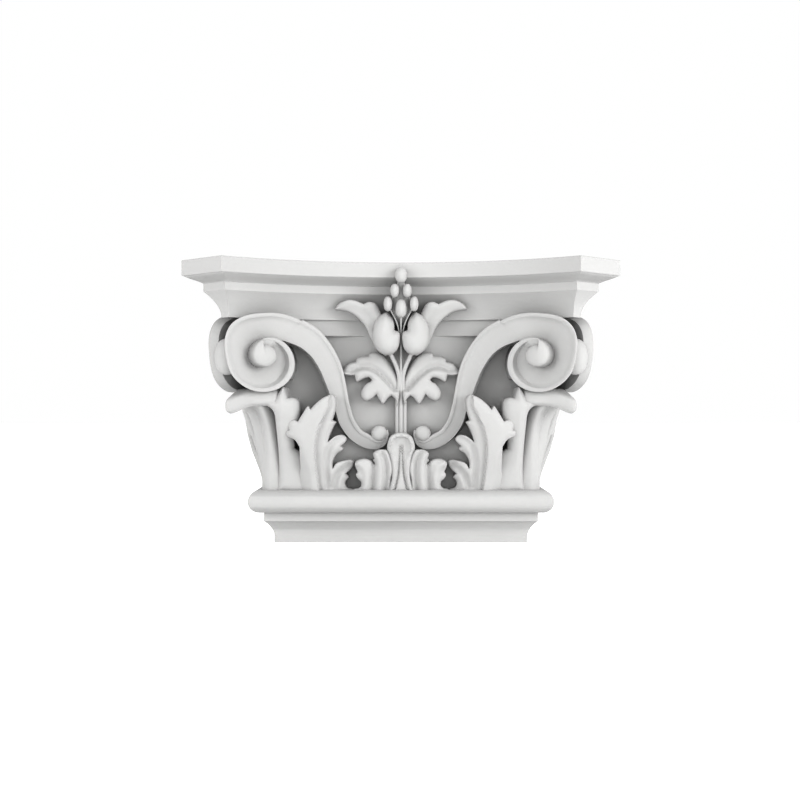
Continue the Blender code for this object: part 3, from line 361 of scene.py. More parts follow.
# %% Make the abacus and the lip under it
ABACUS_OVERHANG = 33.2
ABACUS_CORNER_X = SHAFT_HALF + ABACUS_OVERHANG
ABACUS_CORNER_OUT = 68.5
ABACUS_HOLLOW = 51.0
ABACUS_CORNER_Y = SHAFT_FRONT - ABACUS_CORNER_OUT
SLAB_THICKNESS = 12.0
SLAB_BOTTOM = HEIGHT - SLAB_THICKNESS
SLAB_HOLLOW_HEIGHT = 6.0
SLAB_HOLLOW_SWING = 0.35
ABACUS_FILLET_HEIGHT = 6.5
ABACUS_FILLET_TOP = SLAB_BOTTOM - SLAB_HOLLOW_HEIGHT
ABACUS_FILLET_BOTTOM = ABACUS_FILLET_TOP - ABACUS_FILLET_HEIGHT
ABACUS_FILLET_INSET = 12.3
CAVETTO_INSET = 22.2
ARRIS = 0.45
LIP_HEIGHT = 12.6
LIP_BOTTOM = BELL_TOP - LIP_HEIGHT
LIP_INSET = 3.0
LIP_CORNER_CUT = 40.0
MOULDING_STEPS = 14
MOULDING_SHARES = np.arange(MOULDING_STEPS + 1) / MOULDING_STEPS
ARC_STEPS = 44


def abacus_ring(inset, height, corner_cut=0.0):
    """The abacus in plan at an inset: hollow front, cut corners, and hollow sides ended at the wall."""
    radius = (ABACUS_CORNER_X ** 2 + ABACUS_HOLLOW ** 2) / (2 * ABACUS_HOLLOW)
    centre_y = ABACUS_CORNER_Y + ABACUS_HOLLOW - radius
    reach = radius + inset
    # The cut corner is the line x - y = cut, and the hollow meets it at the vertex
    cut = ABACUS_CORNER_X - ABACUS_CORNER_Y - inset * math.sqrt(2) - corner_cut
    drop = cut + centre_y
    vertex_x = (drop + math.sqrt(2 * reach ** 2 - drop ** 2)) / 2
    turns = np.linspace(0, math.asin(vertex_x / reach), ARC_STEPS + 1)
    front = np.column_stack([reach * np.sin(turns), centre_y + reach * np.cos(turns)])
    side_y = np.linspace(DIAGONAL - vertex_x, WALL_Y + OVERLAP, ARC_STEPS + 1)
    side_x = DIAGONAL - centre_y - np.sqrt(reach ** 2 - (side_y - DIAGONAL) ** 2)
    half = np.vstack([front, np.column_stack([side_x, side_y])])
    ring = np.vstack([half, half[:0:-1] * (-1, 1)])
    return np.column_stack([ring, np.full(len(ring), height)])


def abacus():
    levels = [(ARRIS, HEIGHT), (0, HEIGHT - ARRIS), (0, SLAB_BOTTOM + ARRIS), (ARRIS, SLAB_BOTTOM)]
    for share in MOULDING_SHARES:
        inward = ease(share) * SLAB_HOLLOW_SWING + (1 - SLAB_HOLLOW_SWING) * share
        levels.append((ARRIS * 2 + (ABACUS_FILLET_INSET - ARRIS * 2) * inward,
                       SLAB_BOTTOM - (SLAB_BOTTOM - ABACUS_FILLET_TOP) * share))
    levels.append((ABACUS_FILLET_INSET, ABACUS_FILLET_BOTTOM + ARRIS))
    for share in MOULDING_SHARES:
        inward = 1 - (1 - share) ** 2
        levels.append((ABACUS_FILLET_INSET + ARRIS + (CAVETTO_INSET - ABACUS_FILLET_INSET) * inward,
                       ABACUS_FILLET_BOTTOM - (ABACUS_FILLET_BOTTOM - BELL_TOP) * share))
    return loft([abacus_ring(inset, height) for inset, height in levels])


def lip():
    """The bell's lip: a flat band under the abacus that follows its hollow."""
    inset = CAVETTO_INSET + LIP_INSET
    levels = ((0, BELL_TOP + OVERLAP), (0, LIP_BOTTOM + ARRIS), (ARRIS, LIP_BOTTOM))
    return loft([abacus_ring(inset + more, height, LIP_CORNER_CUT) for more, height in levels])


print("abacus profile has", len(abacus()[0]) // len(abacus_ring(0, 0)), "levels")

# %% Make the bell and the base
PLAIN_END_HEIGHT = 4.5
FILLET_BOTTOM = 17.0
FILLET_TOP = 24.4
FILLET_OUT = 7.8
FILLET_EDGE = 0.7
TORUS_OUT = 19.3


def block_ring(out, height):
    """The shaft's plan grown by a distance, up to the wall, its front corners a little worn."""
    half, front, back = SHAFT_HALF + out, SHAFT_FRONT - out, WALL_Y + OVERLAP
    right = [(half - ARRIS, front), (half, front + ARRIS), (half, back)]
    ring = [(-x, y) for x, y in right[::-1]] + right
    return np.array([(x, y, height) for x, y in ring])


def base():
    levels = [(-ARRIS / 2, 0), (0, ARRIS / 2)]
    for share in MOULDING_SHARES:
        levels.append(((FILLET_OUT - FILLET_EDGE) * share ** 2,
                       PLAIN_END_HEIGHT + (FILLET_BOTTOM - PLAIN_END_HEIGHT) * share))
    levels += [(FILLET_OUT - ARRIS, FILLET_BOTTOM), (FILLET_OUT, FILLET_BOTTOM + ARRIS),
               (FILLET_OUT, FILLET_TOP)]
    radius = (NECK_TOP - FILLET_TOP) / 2
    for turn in np.linspace(-math.pi / 2, math.pi / 2, 2 * MOULDING_STEPS + 1):
        levels.append((TORUS_OUT - radius + radius * math.cos(turn),
                       FILLET_TOP + radius + radius * math.sin(turn)))
    return loft([block_ring(out, height) for out, height in levels])


def bell():
    return loft([block_ring(-BELL_RECESS, height) for height in (NECK_TOP - OVERLAP, BELL_TOP + OVERLAP)])


print("torus is", round(NECK_TOP - FILLET_TOP, 1), "mm thick and stands out", TORUS_OUT, "mm")

# %% [markdown]
# ## Scrolls
#
# The scroll is a broad ribbon that climbs from the middle of the capital, swells and winds up under the
# abacus corner. The face of the ribbon is a raised rim and beside it a hollow. The whole face leans out
# from the bell towards the corner, where it meets the scroll of the side, and the ribbon's edge goes back
# from it. The spiral is given as the rim's radius at each eighth of a turn, and the stem as pairs of
# points across it. One row of points crosses the ribbon at each step along it. After one full turn, the
# ribbon runs inside its own rim, which stands over it as a wall, and an eye closes the middle.

# %% Where the scroll's face stands, and its spiral
SCROLL_CENTRE = np.array([104.9, 146.8])
SCROLL_TILT = math.radians(27)
SCROLL_EDGE = (131.6, SHAFT_FRONT - 47.25)
SCROLL_RADII = (50.0, 39.2, 33.0, 33.4, 27.4, 27.7, 28.0, 26.6, 22.2, 17.4, 13.3, 10.2, 8.9, 8.8)
RADII_BEFORE_TOP = 2
STEM_FACE_Y = SHAFT_FRONT - 1.25
STEM_BEND = 6.0


def scroll_plan(x):
    """How far forward the scroll's face is: flat over the bell, then tilted out to the corner."""
    slope = math.tan(SCROLL_TILT)
    start = SCROLL_EDGE[0] - (STEM_FACE_Y - SCROLL_EDGE[1]) / slope
    return STEM_FACE_Y - slope * STEM_BEND * np.logaddexp(0, (x - start) / STEM_BEND)


def on_scroll(drawn, height):
    """Drawn points of the scroll in space, lifted off its face by a height."""
    x = np.asarray(drawn, float)[:, 0]
    slope = scroll_plan(x + 0.5) - scroll_plan(x - 0.5)
    length = np.sqrt(1 + slope ** 2)
    place_x, place_z = placed(drawn).T
    return np.column_stack([place_x + height * slope / length, scroll_plan(x) - height / length, place_z])


def scroll_edge(turns):
    """Points of the rim's outer edge after so many turns, its radius a smooth curve of the eighths."""
    radii = np.array(SCROLL_RADII + SCROLL_RADII[-1:] * 9)
    place = turns * 8 + RADII_BEFORE_TOP
    low = np.clip(np.floor(place + 1e-9).astype(int), 0, len(radii) - 2)
    t = place - low
    a, b, c, d = (radii[np.clip(low + i, 0, len(radii) - 1)] for i in (-1, 0, 1, 2))
    radius = between(a, b, c, d, t)
    angle = 2 * math.pi * turns
    return SCROLL_CENTRE + radius[:, None] * np.column_stack([np.sin(angle), np.cos(angle)])


print("the scroll's edge stands", round(STEM_FACE_Y - scroll_plan(SCROLL_EDGE[0]), 1), "mm before its stem")

# %% The section across the ribbon, and its root in the bell
SCROLL_RIM = (1.8, 4.2)
RIM_SHARE = 0.36
RIM_DROP = 0.3
RIM_ROUND = 0.34
RIM_SPAN = 1.05
SCROLL_CHANNEL = 9.0
CHANNEL_SHARE = 0.5
STEP_WIDTH = 0.16
STEP_BY_CRISP = (0.12, 0.5)
BEND_BY_CRISP = (1.3, -0.5)
ON_RIM = np.array([0, 0.05, 0.16, 0.32, 0.5, 0.68, 0.84, 0.96])
IN_HOLLOW = np.array([0.03, 0.09, 0.16, 0.27, 0.4, 0.54, 0.68, 0.82, 0.93, 1.0])
ROOT_KEEP = 10.0
ROOT_DRAWN_IN = 0.15


def scroll_section(outer, inner, open_share, crisp):
    """Points and heights across the scroll: a rounded rim, then a hollow that deepens inwards."""
    width = float(np.linalg.norm(inner - outer))
    rim = min(SCROLL_RIM[0] + crisp * (SCROLL_RIM[1] - SCROLL_RIM[0]), RIM_SHARE * width)
    deep = min(SCROLL_CHANNEL, CHANNEL_SHARE * width) * open_share
    rim_heights = -RIM_DROP * rim * (1 - dome(np.minimum(ON_RIM, RIM_SPAN - ON_RIM), RIM_ROUND))
    # A crisp ribbon steps down beside its rim, and a soft one sinks slowly
    step = STEP_BY_CRISP[0] + STEP_BY_CRISP[1] * crisp
    slope = IN_HOLLOW ** (BEND_BY_CRISP[0] + BEND_BY_CRISP[1] * crisp)
    hollow_heights = -deep * (step * ease(IN_HOLLOW / STEP_WIDTH) + (1 - step) * slope)
    across = np.concatenate([ON_RIM * rim, rim + IN_HOLLOW * (width - rim)]) / width
    return outer + across[:, None] * (inner - outer), np.concatenate([rim_heights, hollow_heights])


def root_of(drawn):
    """Where a carving is rooted: straight back over the bell, drawn in to the bell at its corner."""
    x, z = placed(drawn).T
    limit = BELL_HALF - ROOT_KEEP
    inward = np.where(x < limit, x, limit + (x - limit) * ROOT_DRAWN_IN)
    return np.column_stack([inward, np.full(len(x), BELL_FRONT + ROOT_DEPTH), z])


print("across the ribbon lie", len(ON_RIM) + len(IN_HOLLOW), "points")

# %% Make the scroll with its stem and its eye
SCROLL_STEPS = 112
SCROLL_THICKNESS = 8.0
SCROLL_BAND = 0.93
SCROLL_CORE = 0.55
CORE_FROM = (84.0, 96.0)
CRISP_FROM = 0.42
CRISP_OVER = 0.25
CHANNEL_END = (0.83, 0.93)
EYE_FOOT = (0.96, -0.1)
EYE_OUT = 5.2
EYE_SWIRL = 0.4
EYE_FULLNESS = 0.8
EYE_TILTS = (70, 60, 50, 40, 30, 20, 10)
STEM_OPEN = 0.5
STEM_CRISP = 0.25
STEM_STEPS = 16
STEM_PAIRS = (
    ((76.0, 175.2), (88.5, 158.7)),
    ((66.3, 169.6), (77.0, 154.2)),
    ((58.3, 161.5), (68.6, 147.3)),
    ((50.8, 149.6), (61.8, 136.4)),
    ((45.8, 137.2), (57.2, 125.0)),
    ((42.9, 123.3), (53.6, 114.0)),
    ((40.6, 110.5), (50.6, 104.5)),
    ((37.0, 98.0), (47.2, 93.0)),
    ((31.5, 89.4), (39.5, 81.8)),
    ((24.8, 85.4), (29.2, 75.0)),
    ((19.0, 81.6), (19.0, 73.7)),
    ((14.6, 82.4), (12.2, 77.4)),
    ((13.0, 86.0), (9.8, 84.5)),
    ((13.4, 88.2), (10.4, 89.4)),
)


def scroll():
    """The scroll and its stem: one modelled face, a band straight back from it, and a root in the bell."""
    around, lead = SCROLL_STEPS, SCROLL_STEPS // 8
    turns = np.arange(-lead, around + 1) / around
    upper, lower = (smooth_curve([pair[i] for pair in STEM_PAIRS[::-1]], pieces=STEM_STEPS) for i in (0, 1))
    outers = np.vstack([upper, scroll_edge(turns)])
    inners = np.vstack([lower, scroll_edge(turns + 1)])
    free = len(upper)
    opening = STEM_OPEN + (1 - STEM_OPEN) * ease((turns + 1 / 8) * 5)
    closing = ease((turns - CHANNEL_END[0]) / (CHANNEL_END[1] - CHANNEL_END[0]))
    opened = np.concatenate([np.full(free, STEM_OPEN), opening - closing])
    crispness = np.maximum(STEM_CRISP * (1 - ease(4 * turns)), ease((turns - CRISP_FROM) / CRISP_OVER))
    crisp = np.concatenate([np.full(free, STEM_CRISP), crispness])
    places, faces = [], []

    def add(points):
        places.extend(points)
        return list(range(len(places) - len(points), len(places)))

    rows = [add(on_scroll(*scroll_section(*drawn))) for drawn in zip(outers, inners, opened, crisp)]
    for row, following in zip(rows, rows[1:]):
        faces += [(row[i], row[i + 1], following[i + 1], following[i]) for i in range(len(row) - 1)]
    # The inner turn's rim stands as a wall at the foot of the first sections
    for j in range(free, free + lead):
        faces.append((rows[j][-1], rows[j + around][0], rows[j + around + 1][0], rows[j + 1][-1]))
    # The eye rises from the feet of the sections, and from the last section up to the rim
    before = [row[-1] for row in rows[free + lead:]] + rows[-1][-2::-1]
    drawn = np.vstack([inners[free + lead:], scroll_section(outers[-1], inners[-1], 0, 1)[0][-2:0:-1]])
    eye = [EYE_FOOT] + [(math.sin(tilt), EYE_OUT * math.cos(tilt) ** EYE_FULLNESS)
                         for tilt in np.radians(EYE_TILTS)]
    for share, height in eye:
        # Each ring turns a little on, so that the eye winds inwards from the ribbon's end
        swirl = EYE_SWIRL * math.sqrt(1 - share)
        turned = np.array([(math.cos(swirl), -math.sin(swirl)), (math.sin(swirl), math.cos(swirl))])
        ring = add(on_scroll(SCROLL_CENTRE + share * (drawn - SCROLL_CENTRE) @ turned, height))
        if len(before) > len(ring):
            faces.append((before[-1], ring[0], before[0]))
            faces.append((before[-2], ring[-1], ring[0], before[-1]))
            faces += [(before[i], ring[i], ring[i + 1], before[i + 1]) for i in range(len(ring) - 1)]
        else:
            faces += [(before[i - 1], ring[i - 1], ring[i], before[i]) for i in range(len(ring))]
        before = ring
    tip = add(on_scroll([SCROLL_CENTRE], EYE_OUT))[0]
    faces += [(before[i - 1], tip, before[i]) for i in range(len(before))]
    # Round the outside, the edge steps up once, from the channel to the inner turn's rim
    last = free + around
    edge = [row[0] for row in rows[:last + 1]] + [row[-1] for row in rows[free - 1::-1]] + rows[0][-2:0:-1]
    flat = np.vstack([outers[:last + 1], inners[free - 1::-1],
                      scroll_section(outers[0], inners[0], STEM_OPEN, STEM_CRISP)[0][-2:0:-1]])
    # Behind the scroll's edge the form draws in, so a dark gap opens between it and the side's scroll
    band = np.interp(flat[:, 0], CORE_FROM, (1, SCROLL_BAND))[:, None]
    core = np.interp(flat[:, 0], CORE_FROM, (1, SCROLL_CORE))[:, None]
    wall = add(on_scroll(SCROLL_CENTRE + band * (flat - SCROLL_CENTRE), -SCROLL_THICKNESS))
    under = add(on_scroll(SCROLL_CENTRE + core * (flat - SCROLL_CENTRE), -SCROLL_THICKNESS - 1.0))
    root = add(root_of(SCROLL_CENTRE + core * (flat - SCROLL_CENTRE)))
    foot = rows[free][-1]
    for i in range(len(edge)):
        j = (i + 1) % len(edge)
        upper_side = (edge[i], edge[j])
        if i == last - 1:
            upper_side = (edge[i], edge[j], foot)
        if i == last:
            upper_side = (foot, edge[j])
        faces.append(upper_side + (wall[j], wall[i]))
        faces.append((wall[i], wall[j], under[j], under[i]))
        faces.append((under[i], under[j], root[j], root[i]))
    faces += [[root[v] for v in face] for face in filled(flat)[1]]
    return np.array(places), faces


scroll_shape = scroll()
print("scroll:", len(scroll_shape[0]), "points")

# %% Make the round end of the stem, and the swelling between two scrolls
CURL_CENTRE = (17.3, 86.4)
CURL_RADIUS = 6.4
CURL_OUT = 2.2
CURL_SWELL = 3.4
CURL_FULLNESS = 0.7
CURL_BACK = -10.0
CURL_STEPS = 40
CURL_TILTS = (90, 75, 60, 48, 36, 25, 15, 7)
PILLOW_HEIGHT = 146.0
PILLOW_HALF_HEIGHT = 14.0
PILLOW_BEHIND = 8.1
PILLOW_FILL = 0.86


def curl():
    """The round end of the scroll's stem."""
    turns = np.arange(CURL_STEPS) * 2 * math.pi / CURL_STEPS
    levels = [(1.0, CURL_BACK)]
    for tilt in np.radians(CURL_TILTS):
        levels.append((math.sin(tilt) ** CURL_FULLNESS, CURL_OUT + CURL_SWELL * (math.cos(tilt) - 1)))
    circle = np.column_stack([np.cos(turns), np.sin(turns)])
    return capped([on_scroll(CURL_CENTRE + share * CURL_RADIUS * circle, height) for share, height in levels])


def pillow():
    """The soft swelling on the diagonal, in the gap between the front scroll and the side scroll."""
    edge_x, z = placed([(SCROLL_EDGE[0], PILLOW_HEIGHT)])[0]
    gap = math.sqrt(2) * abs(DIAGONAL - SCROLL_EDGE[1] - edge_x)
    radius = PILLOW_FILL * gap / 2
    x = (edge_x + DIAGONAL - SCROLL_EDGE[1]) / 2 - PILLOW_BEHIND / math.sqrt(2)
    return egg((x, DIAGONAL - x, z), (radius, radius, PILLOW_HALF_HEIGHT))


print("the curl is", 2 * CURL_RADIUS, "mm across, the swelling", 2 * PILLOW_HALF_HEIGHT, "mm high")

# %% [markdown]
# ## Corner leaf
#
# An acanthus leaf stands under each scroll. It is folded along the corner's edge, so half of it faces
# front and the other half faces the side, and its head turns over outwards. Its stem is a rib on the
# diagonal. Beside the rib the front half dips into a groove and then rises to a soft ridge. The same half,
# mirrored in the diagonal, makes the side one, so the two meet at the rib.

# %% Make the corner leaf's stem
CORNER_CREST = ((107.7, 39.0), (107.8, 60.0), (108.3, 78.0), (109.8, 92.0), (113.5, 103.0), (119.0, 112.0))
CORNER_STEM_EDGE = ((96.0, 112.0), (92.0, 100.0), (88.0, 70.0), (86.0, 39.0))
CORNER_RIB = ((39.0, 2.6), (52.0, 2.8), (66.0, 4.6), (80.0, 7.0), (92.0, 8.2), (112.0, 8.0))
CORNER_RIB_MIDDLE = 5.8
CORNER_RIB_REACH = 6.0
CORNER_RIB_INNER_REACH = 8.5
CORNER_RIB_LEAN = 0.1
STEM_ROOT_IN = 9.0
STEM_ROOT_SHARE = 0.18


def corner_stem():
    """The leaf's stem round the corner: a rib on the front, and its mirror on the side, as one form."""
    crest = smooth_curve(CORNER_CREST, EDGE_STEP * 1.2)
    free_edge = smooth_curve(CORNER_STEM_EDGE, EDGE_STEP)
    outline = np.vstack([crest, free_edge])
    points, triangles = filled(outline, FACE_STEP)
    x, z = points.T
    crest_x = np.interp(z, crest[:, 1], crest[:, 0])
    across = crest_x - x
    reach = np.where(across > CORNER_RIB_MIDDLE, CORNER_RIB_INNER_REACH, CORNER_RIB_REACH)
    rib = profile(z, CORNER_RIB) * np.sqrt(hump((across - CORNER_RIB_MIDDLE) / reach))
    place_x, place_z = placed(points).T
    y = DIAGONAL - (place_x + across) + CORNER_RIB_LEAN * across - rib
    y[:len(crest)] = DIAGONAL - place_x[:len(crest)]
    front = np.column_stack([place_x, y, place_z])
    side = np.column_stack([DIAGONAL - y, DIAGONAL - place_x, place_z])
    count = len(front)
    twin = [i if i < len(crest) else count + i for i in range(count)]
    places = np.vstack([front, side])
    faces = [list(t) for t in triangles] + [[twin[v] for v in t] for t in triangles]
    half = list(range(len(crest) - 1, len(outline)))
    loop = half + [0] + [twin[i] for i in half[:0:-1]]
    # The back of the stem is drawn in towards the bell's corner
    inner = np.array([BELL_HALF - STEM_ROOT_IN, BELL_FRONT + STEM_ROOT_IN])
    ring = places[loop]
    back = ring.copy()
    back[:, :2] = inner + STEM_ROOT_SHARE * (ring[:, :2] - inner)
    first, around = len(places), len(loop)
    places = np.vstack([places, back])
    faces += [(loop[i], loop[(i + 1) % around], first + (i + 1) % around, first + i) for i in range(around)]
    faces.append([first + i for i in range(around)])
    return places, faces


print("corner stem:", len(corner_stem()[0]), "points")

# %% Make the corner leaf
CORNER_LEAF_LOBES = [
    [(98.5, 40.0), (96.6, 50.0), (96.0, 60.0), (96.3, 74.5), (97.4, 92.0), (98.4, 102.0), (101.8, 107.0),
     (108.0, 109.4)],
    [(108.5, 112.0), (104.0, 113.2)],
    [(98.4, 112.6), (94.5, 119.4), (91.4, 123.0), (89.3, 118.0)],
    [(88.2, 114.5), (83.7, 114.7), (80.1, 112.2), (78.8, 106.0), (78.8, 98.0), (80.5, 90.0), (83.4, 82.5)],
    [(83.4, 75.0), (78.0, 71.5), (72.0, 66.0), (68.0, 56.0), (66.0, 40.0)],
]
CORNER_LEAF_OUT = ((40.0, 16.0), (52.0, 17.0), (66.0, 20.0), (80.0, 24.5), (94.0, 29.5), (106.0, 33.0),
                   (123.0, 34.0))
CORNER_LEAF_FALL = 0.12
CORNER_LEAF_ROUND = 0.011
CORNER_LEAF_EDGE = (4.6, 6.0)
CORNER_LEAF_RIDGE = ((40.0, 83.0), (52.0, 85.5), (65.6, 91.0), (92.6, 92.3), (112.8, 92.0), (123.0, 93.0))


def corner_leaf_face(points, edge_distance):
    """The leaf itself: it rises beside the stem, leans out, and its head turns over in lobes."""
    x, z = points.T
    past_ridge = np.clip(profile(z, CORNER_LEAF_RIDGE) - x, 0, None)
    fall = CORNER_LEAF_FALL * past_ridge + CORNER_LEAF_ROUND * past_ridge ** 2
    return profile(z, CORNER_LEAF_OUT) - fall - edge_drop(edge_distance, CORNER_LEAF_EDGE)


leaf_shape = carved(CORNER_LEAF_LOBES, corner_leaf_face)
print("corner leaf:", len(leaf_shape[0]), "points")

# %% Make its head, turned over outwards
LEAF_HEAD_TIP = (34.6, 34.6)
LEAF_HEAD_FRONT = ((31.5, 34.85), (24.5, 32.6), (17.0, 30.6), (9.0, 29.0), (1.5, 27.6), (-4.0, 25.0),
                   (-7.0, 19.0))
LEAF_HEAD_INNER = ((-11.0, -0.75), (-10.5, -10.5))
LEAF_HEAD_LEVELS = ((108.4, 4.5), (110.4, 1.0), (114.5, 0.0), (118.6, 1.2), (122.0, 5.5))
LEAF_HEAD_DROOP = 6.0
LEAF_HEAD_NOSE = 11.0
LEAF_HEAD_KEEP = 20.0
LEVEL_PIECES = 6


def leaf_head():
    """The head of the corner leaf, turned over outwards under the scrolls."""
    front = from_corner(smooth_curve((LEAF_HEAD_TIP,) + LEAF_HEAD_FRONT, EDGE_STEP))
    half = np.vstack([front, from_corner(LEAF_HEAD_INNER)])
    side = np.column_stack([DIAGONAL - half[-2:0:-1, 1], DIAGONAL - half[-2:0:-1, 0]])
    ring = np.vstack([half, side])
    anchor = half[-1]
    reach = np.linalg.norm(ring - anchor, axis=1)
    droop = LEAF_HEAD_DROOP * np.exp(-((np.linalg.norm(ring - ring[0], axis=1) / LEAF_HEAD_NOSE) ** 2))
    rings = []
    for height, inset in smooth_curve(LEAF_HEAD_LEVELS, pieces=LEVEL_PIECES):
        share = np.where(reach > LEAF_HEAD_KEEP, 1 - inset / np.maximum(reach, 1), 1)[:, None]
        plan = anchor + (ring - anchor) * share
        rings.append(np.column_stack([plan, placed([(SHAFT_HALF, height)])[0, 1] - droop]))
    return loft(rings)


print("leaf head:", len(leaf_head()[0]), "points")

# %% [markdown]
# ## Leaves on the bell
#
# Between the corner leaf and the middle stand a half leaf and a small low leaf, and an arch with a tongue
# in it stands in the middle. The half leaf is a little round in front, and a furrow runs up it beside its
# main ridge. Shallow valleys part its lobes, and small ridges and valleys do so in the low leaf.

# %% Make the half leaf
HALF_LEAF_LOBES = [
    [(37.5, 40.0), (38.6, 42.6), (42.0, 43.4), (43.9, 46.0), (43.4, 49.0), (41.0, 52.0)],
    [(43.4, 54.8), (39.3, 58.6), (37.0, 63.6), (40.2, 65.7), (47.6, 64.6), (51.3, 62.8)],
    [(53.5, 59.4), (53.6, 64.5), (50.6, 70.4), (45.6, 74.0)],
    [(47.2, 76.6), (43.8, 79.8), (43.0, 82.8), (46.0, 85.3), (50.6, 85.0), (54.6, 82.4)],
    [(56.9, 80.4), (55.3, 86.5), (52.3, 93.2), (50.9, 95.4)],
    [(53.8, 97.0), (51.4, 105.0), (50.8, 112.0), (53.6, 116.9), (60.5, 114.4), (66.5, 109.6)],
    [(70.1, 105.6), (72.2, 108.1), (76.0, 102.8)],
    [(79.9, 96.3), (83.4, 97.4), (87.1, 95.6), (87.8, 92.6)],
    [(86.6, 89.6), (89.4, 88.0), (88.3, 84.7), (82.8, 81.8)],
    [(79.2, 76.5), (79.0, 60.0), (79.0, 40.0)],
]
HALF_LEAF_OUT = ((40.0, 18.5), (52.0, 20.5), (64.0, 24.5), (76.0, 28.5), (98.0, 33.0), (117.0, 35.0))
HALF_LEAF_RIDGE = ((40.0, 68.5), (58.0, 71.5), (72.0, 74.5), (86.0, 73.0), (101.0, 67.0), (117.0, 58.0))
HALF_LEAF_FOLD = ((42.0, 63.5), (58.0, 65.5), (74.0, 66.5), (88.0, 64.5), (98.0, 60.5), (108.0, 55.0))
HALF_LEAF_JOINED = ((40.0, 0.35), (66.0, 0.35), (74.0, 0.17), (82.0, 0.0), (117.0, 0.0))
HALF_LEAF_ROUND = 0.009
HALF_LEAF_EDGE = (2.6, 5.0)
HALF_LEAF_VALLEY = (2.4, 4.0)
HALF_LEAF_FOLD_DEPTH = 3.4
HALF_LEAF_FOLD_REACH = 9.0
HALF_LEAF_VALLEYS = (((57.5, 44.0), (58.5, 60.0), (56.5, 74.0), (52.0, 80.0), (46.0, 83.0)),
                     ((53.0, 44.0), (49.5, 54.0), (41.0, 62.5)))


def half_leaf_face(points, edge_distance):
    """The leaf that stands beside the corner leaf and leans out at its tip."""
    x, z = points.T
    off_ridge = x - profile(z, HALF_LEAF_RIDGE)
    low = profile(z, HALF_LEAF_JOINED)
    out = profile(z, HALF_LEAF_OUT) - HALF_LEAF_ROUND * off_ridge ** 2 - low * np.clip(off_ridge, 0, None)
    past_fold = profile(z, HALF_LEAF_FOLD) - x + 1
    fading = np.exp(-np.clip(past_fold, 0, None) / HALF_LEAF_FOLD_REACH)
    fold = HALF_LEAF_FOLD_DEPTH * ease(past_fold) * fading
    out -= edge_drop(edge_distance, HALF_LEAF_EDGE) + fold
    for valley in HALF_LEAF_VALLEYS:
        out -= ridge(points, valley, HALF_LEAF_VALLEY)
    return out


half_leaf_shape = carved(HALF_LEAF_LOBES, half_leaf_face)
print("half leaf:", len(half_leaf_shape[0]), "points")

# %% Make the low leaf
LOW_LEAF_LOBES = [
    [(7.0, 40.0), (7.6, 50.0), (6.0, 58.0), (8.0, 66.0), (10.9, 72.9), (13.7, 73.8), (18.2, 73.6),
     (21.6, 71.4), (21.6, 68.4)],
    [(20.7, 66.6), (22.3, 65.6)],
    [(20.9, 62.8), (24.2, 65.5), (29.1, 66.7), (34.0, 65.6), (36.3, 63.4), (35.8, 60.2)],
    [(34.2, 56.4), (35.5, 53.9), (34.2, 51.2), (31.6, 48.4), (31.5, 45.2), (33.6, 43.2), (37.0, 42.6),
     (37.6, 40.0)],
]
LOW_LEAF_RIDGES = (((17.6, 42.0), (16.3, 54.0), (17.0, 64.0), (19.0, 70.0)),
                   ((28.5, 43.0), (27.0, 52.0), (29.0, 60.0), (33.0, 63.0)))
LOW_LEAF_VALLEYS = (((22.6, 42.0), (21.8, 54.0), (21.0, 64.0)),
                    ((12.4, 42.0), (11.6, 56.0), (12.6, 66.0), (15.0, 71.0)))
LOW_LEAF_RIDGE = (1.6, 4.5)
LOW_LEAF_VALLEY = (2.2, 3.4)
LOW_LEAF_EDGE = (2.6, 3.5)
LOW_LEAF_OUT = ((40.0, 16.0), (58.0, 18.0), (74.0, 20.0))


def low_leaf_face(points, edge_distance):
    """The small leaf between the arch and the half leaf."""
    out = profile(points[:, 1], LOW_LEAF_OUT) - edge_drop(edge_distance, LOW_LEAF_EDGE)
    for line in LOW_LEAF_RIDGES:
        out += ridge(points, line, LOW_LEAF_RIDGE)
    for line in LOW_LEAF_VALLEYS:
        out -= ridge(points, line, LOW_LEAF_VALLEY)
    return out


low_leaf_shape = carved(LOW_LEAF_LOBES, low_leaf_face)
print("low leaf:", len(low_leaf_shape[0]), "points")

# %% Make the arch in the middle and its tongue
CALYX_HALF = ((0.0, 87.4), (4.2, 86.6), (8.6, 83.8), (10.6, 79.0), (10.9, 73.4), (8.4, 65.4), (6.9, 57.0),
              (7.6, 49.4), (9.6, 40.0))
TONGUE_HALF_WIDTHS = ((40.0, 5.4), (46.0, 4.0), (55.0, 2.1), (66.0, 1.4), (78.0, 0.7))
ARCH_LEG = ((40.0, 8.4), (50.0, 6.2), (60.0, 5.4), (72.0, 6.4), (82.0, 7.6))
CALYX_OUT = 17.5
CALYX_EDGE = (2.0, 2.6)
TONGUE_TOP = 79.0
TONGUE_FADE = 3.0
GROOVE_DEPTH = 2.0
GROOVE_WIDTH = 1.4
ARCH_LEG_RISE = 1.2
ARCH_LEG_WIDTH = 3.0
ARCH_RIM = 2.8
ARCH_RIM_STEP = 1.2
ARCH_HOLLOW_DEPTH = 2.4
ARCH_HOLLOW_FROM = 66.0
ARCH_HOLLOW_FADE = 8.0


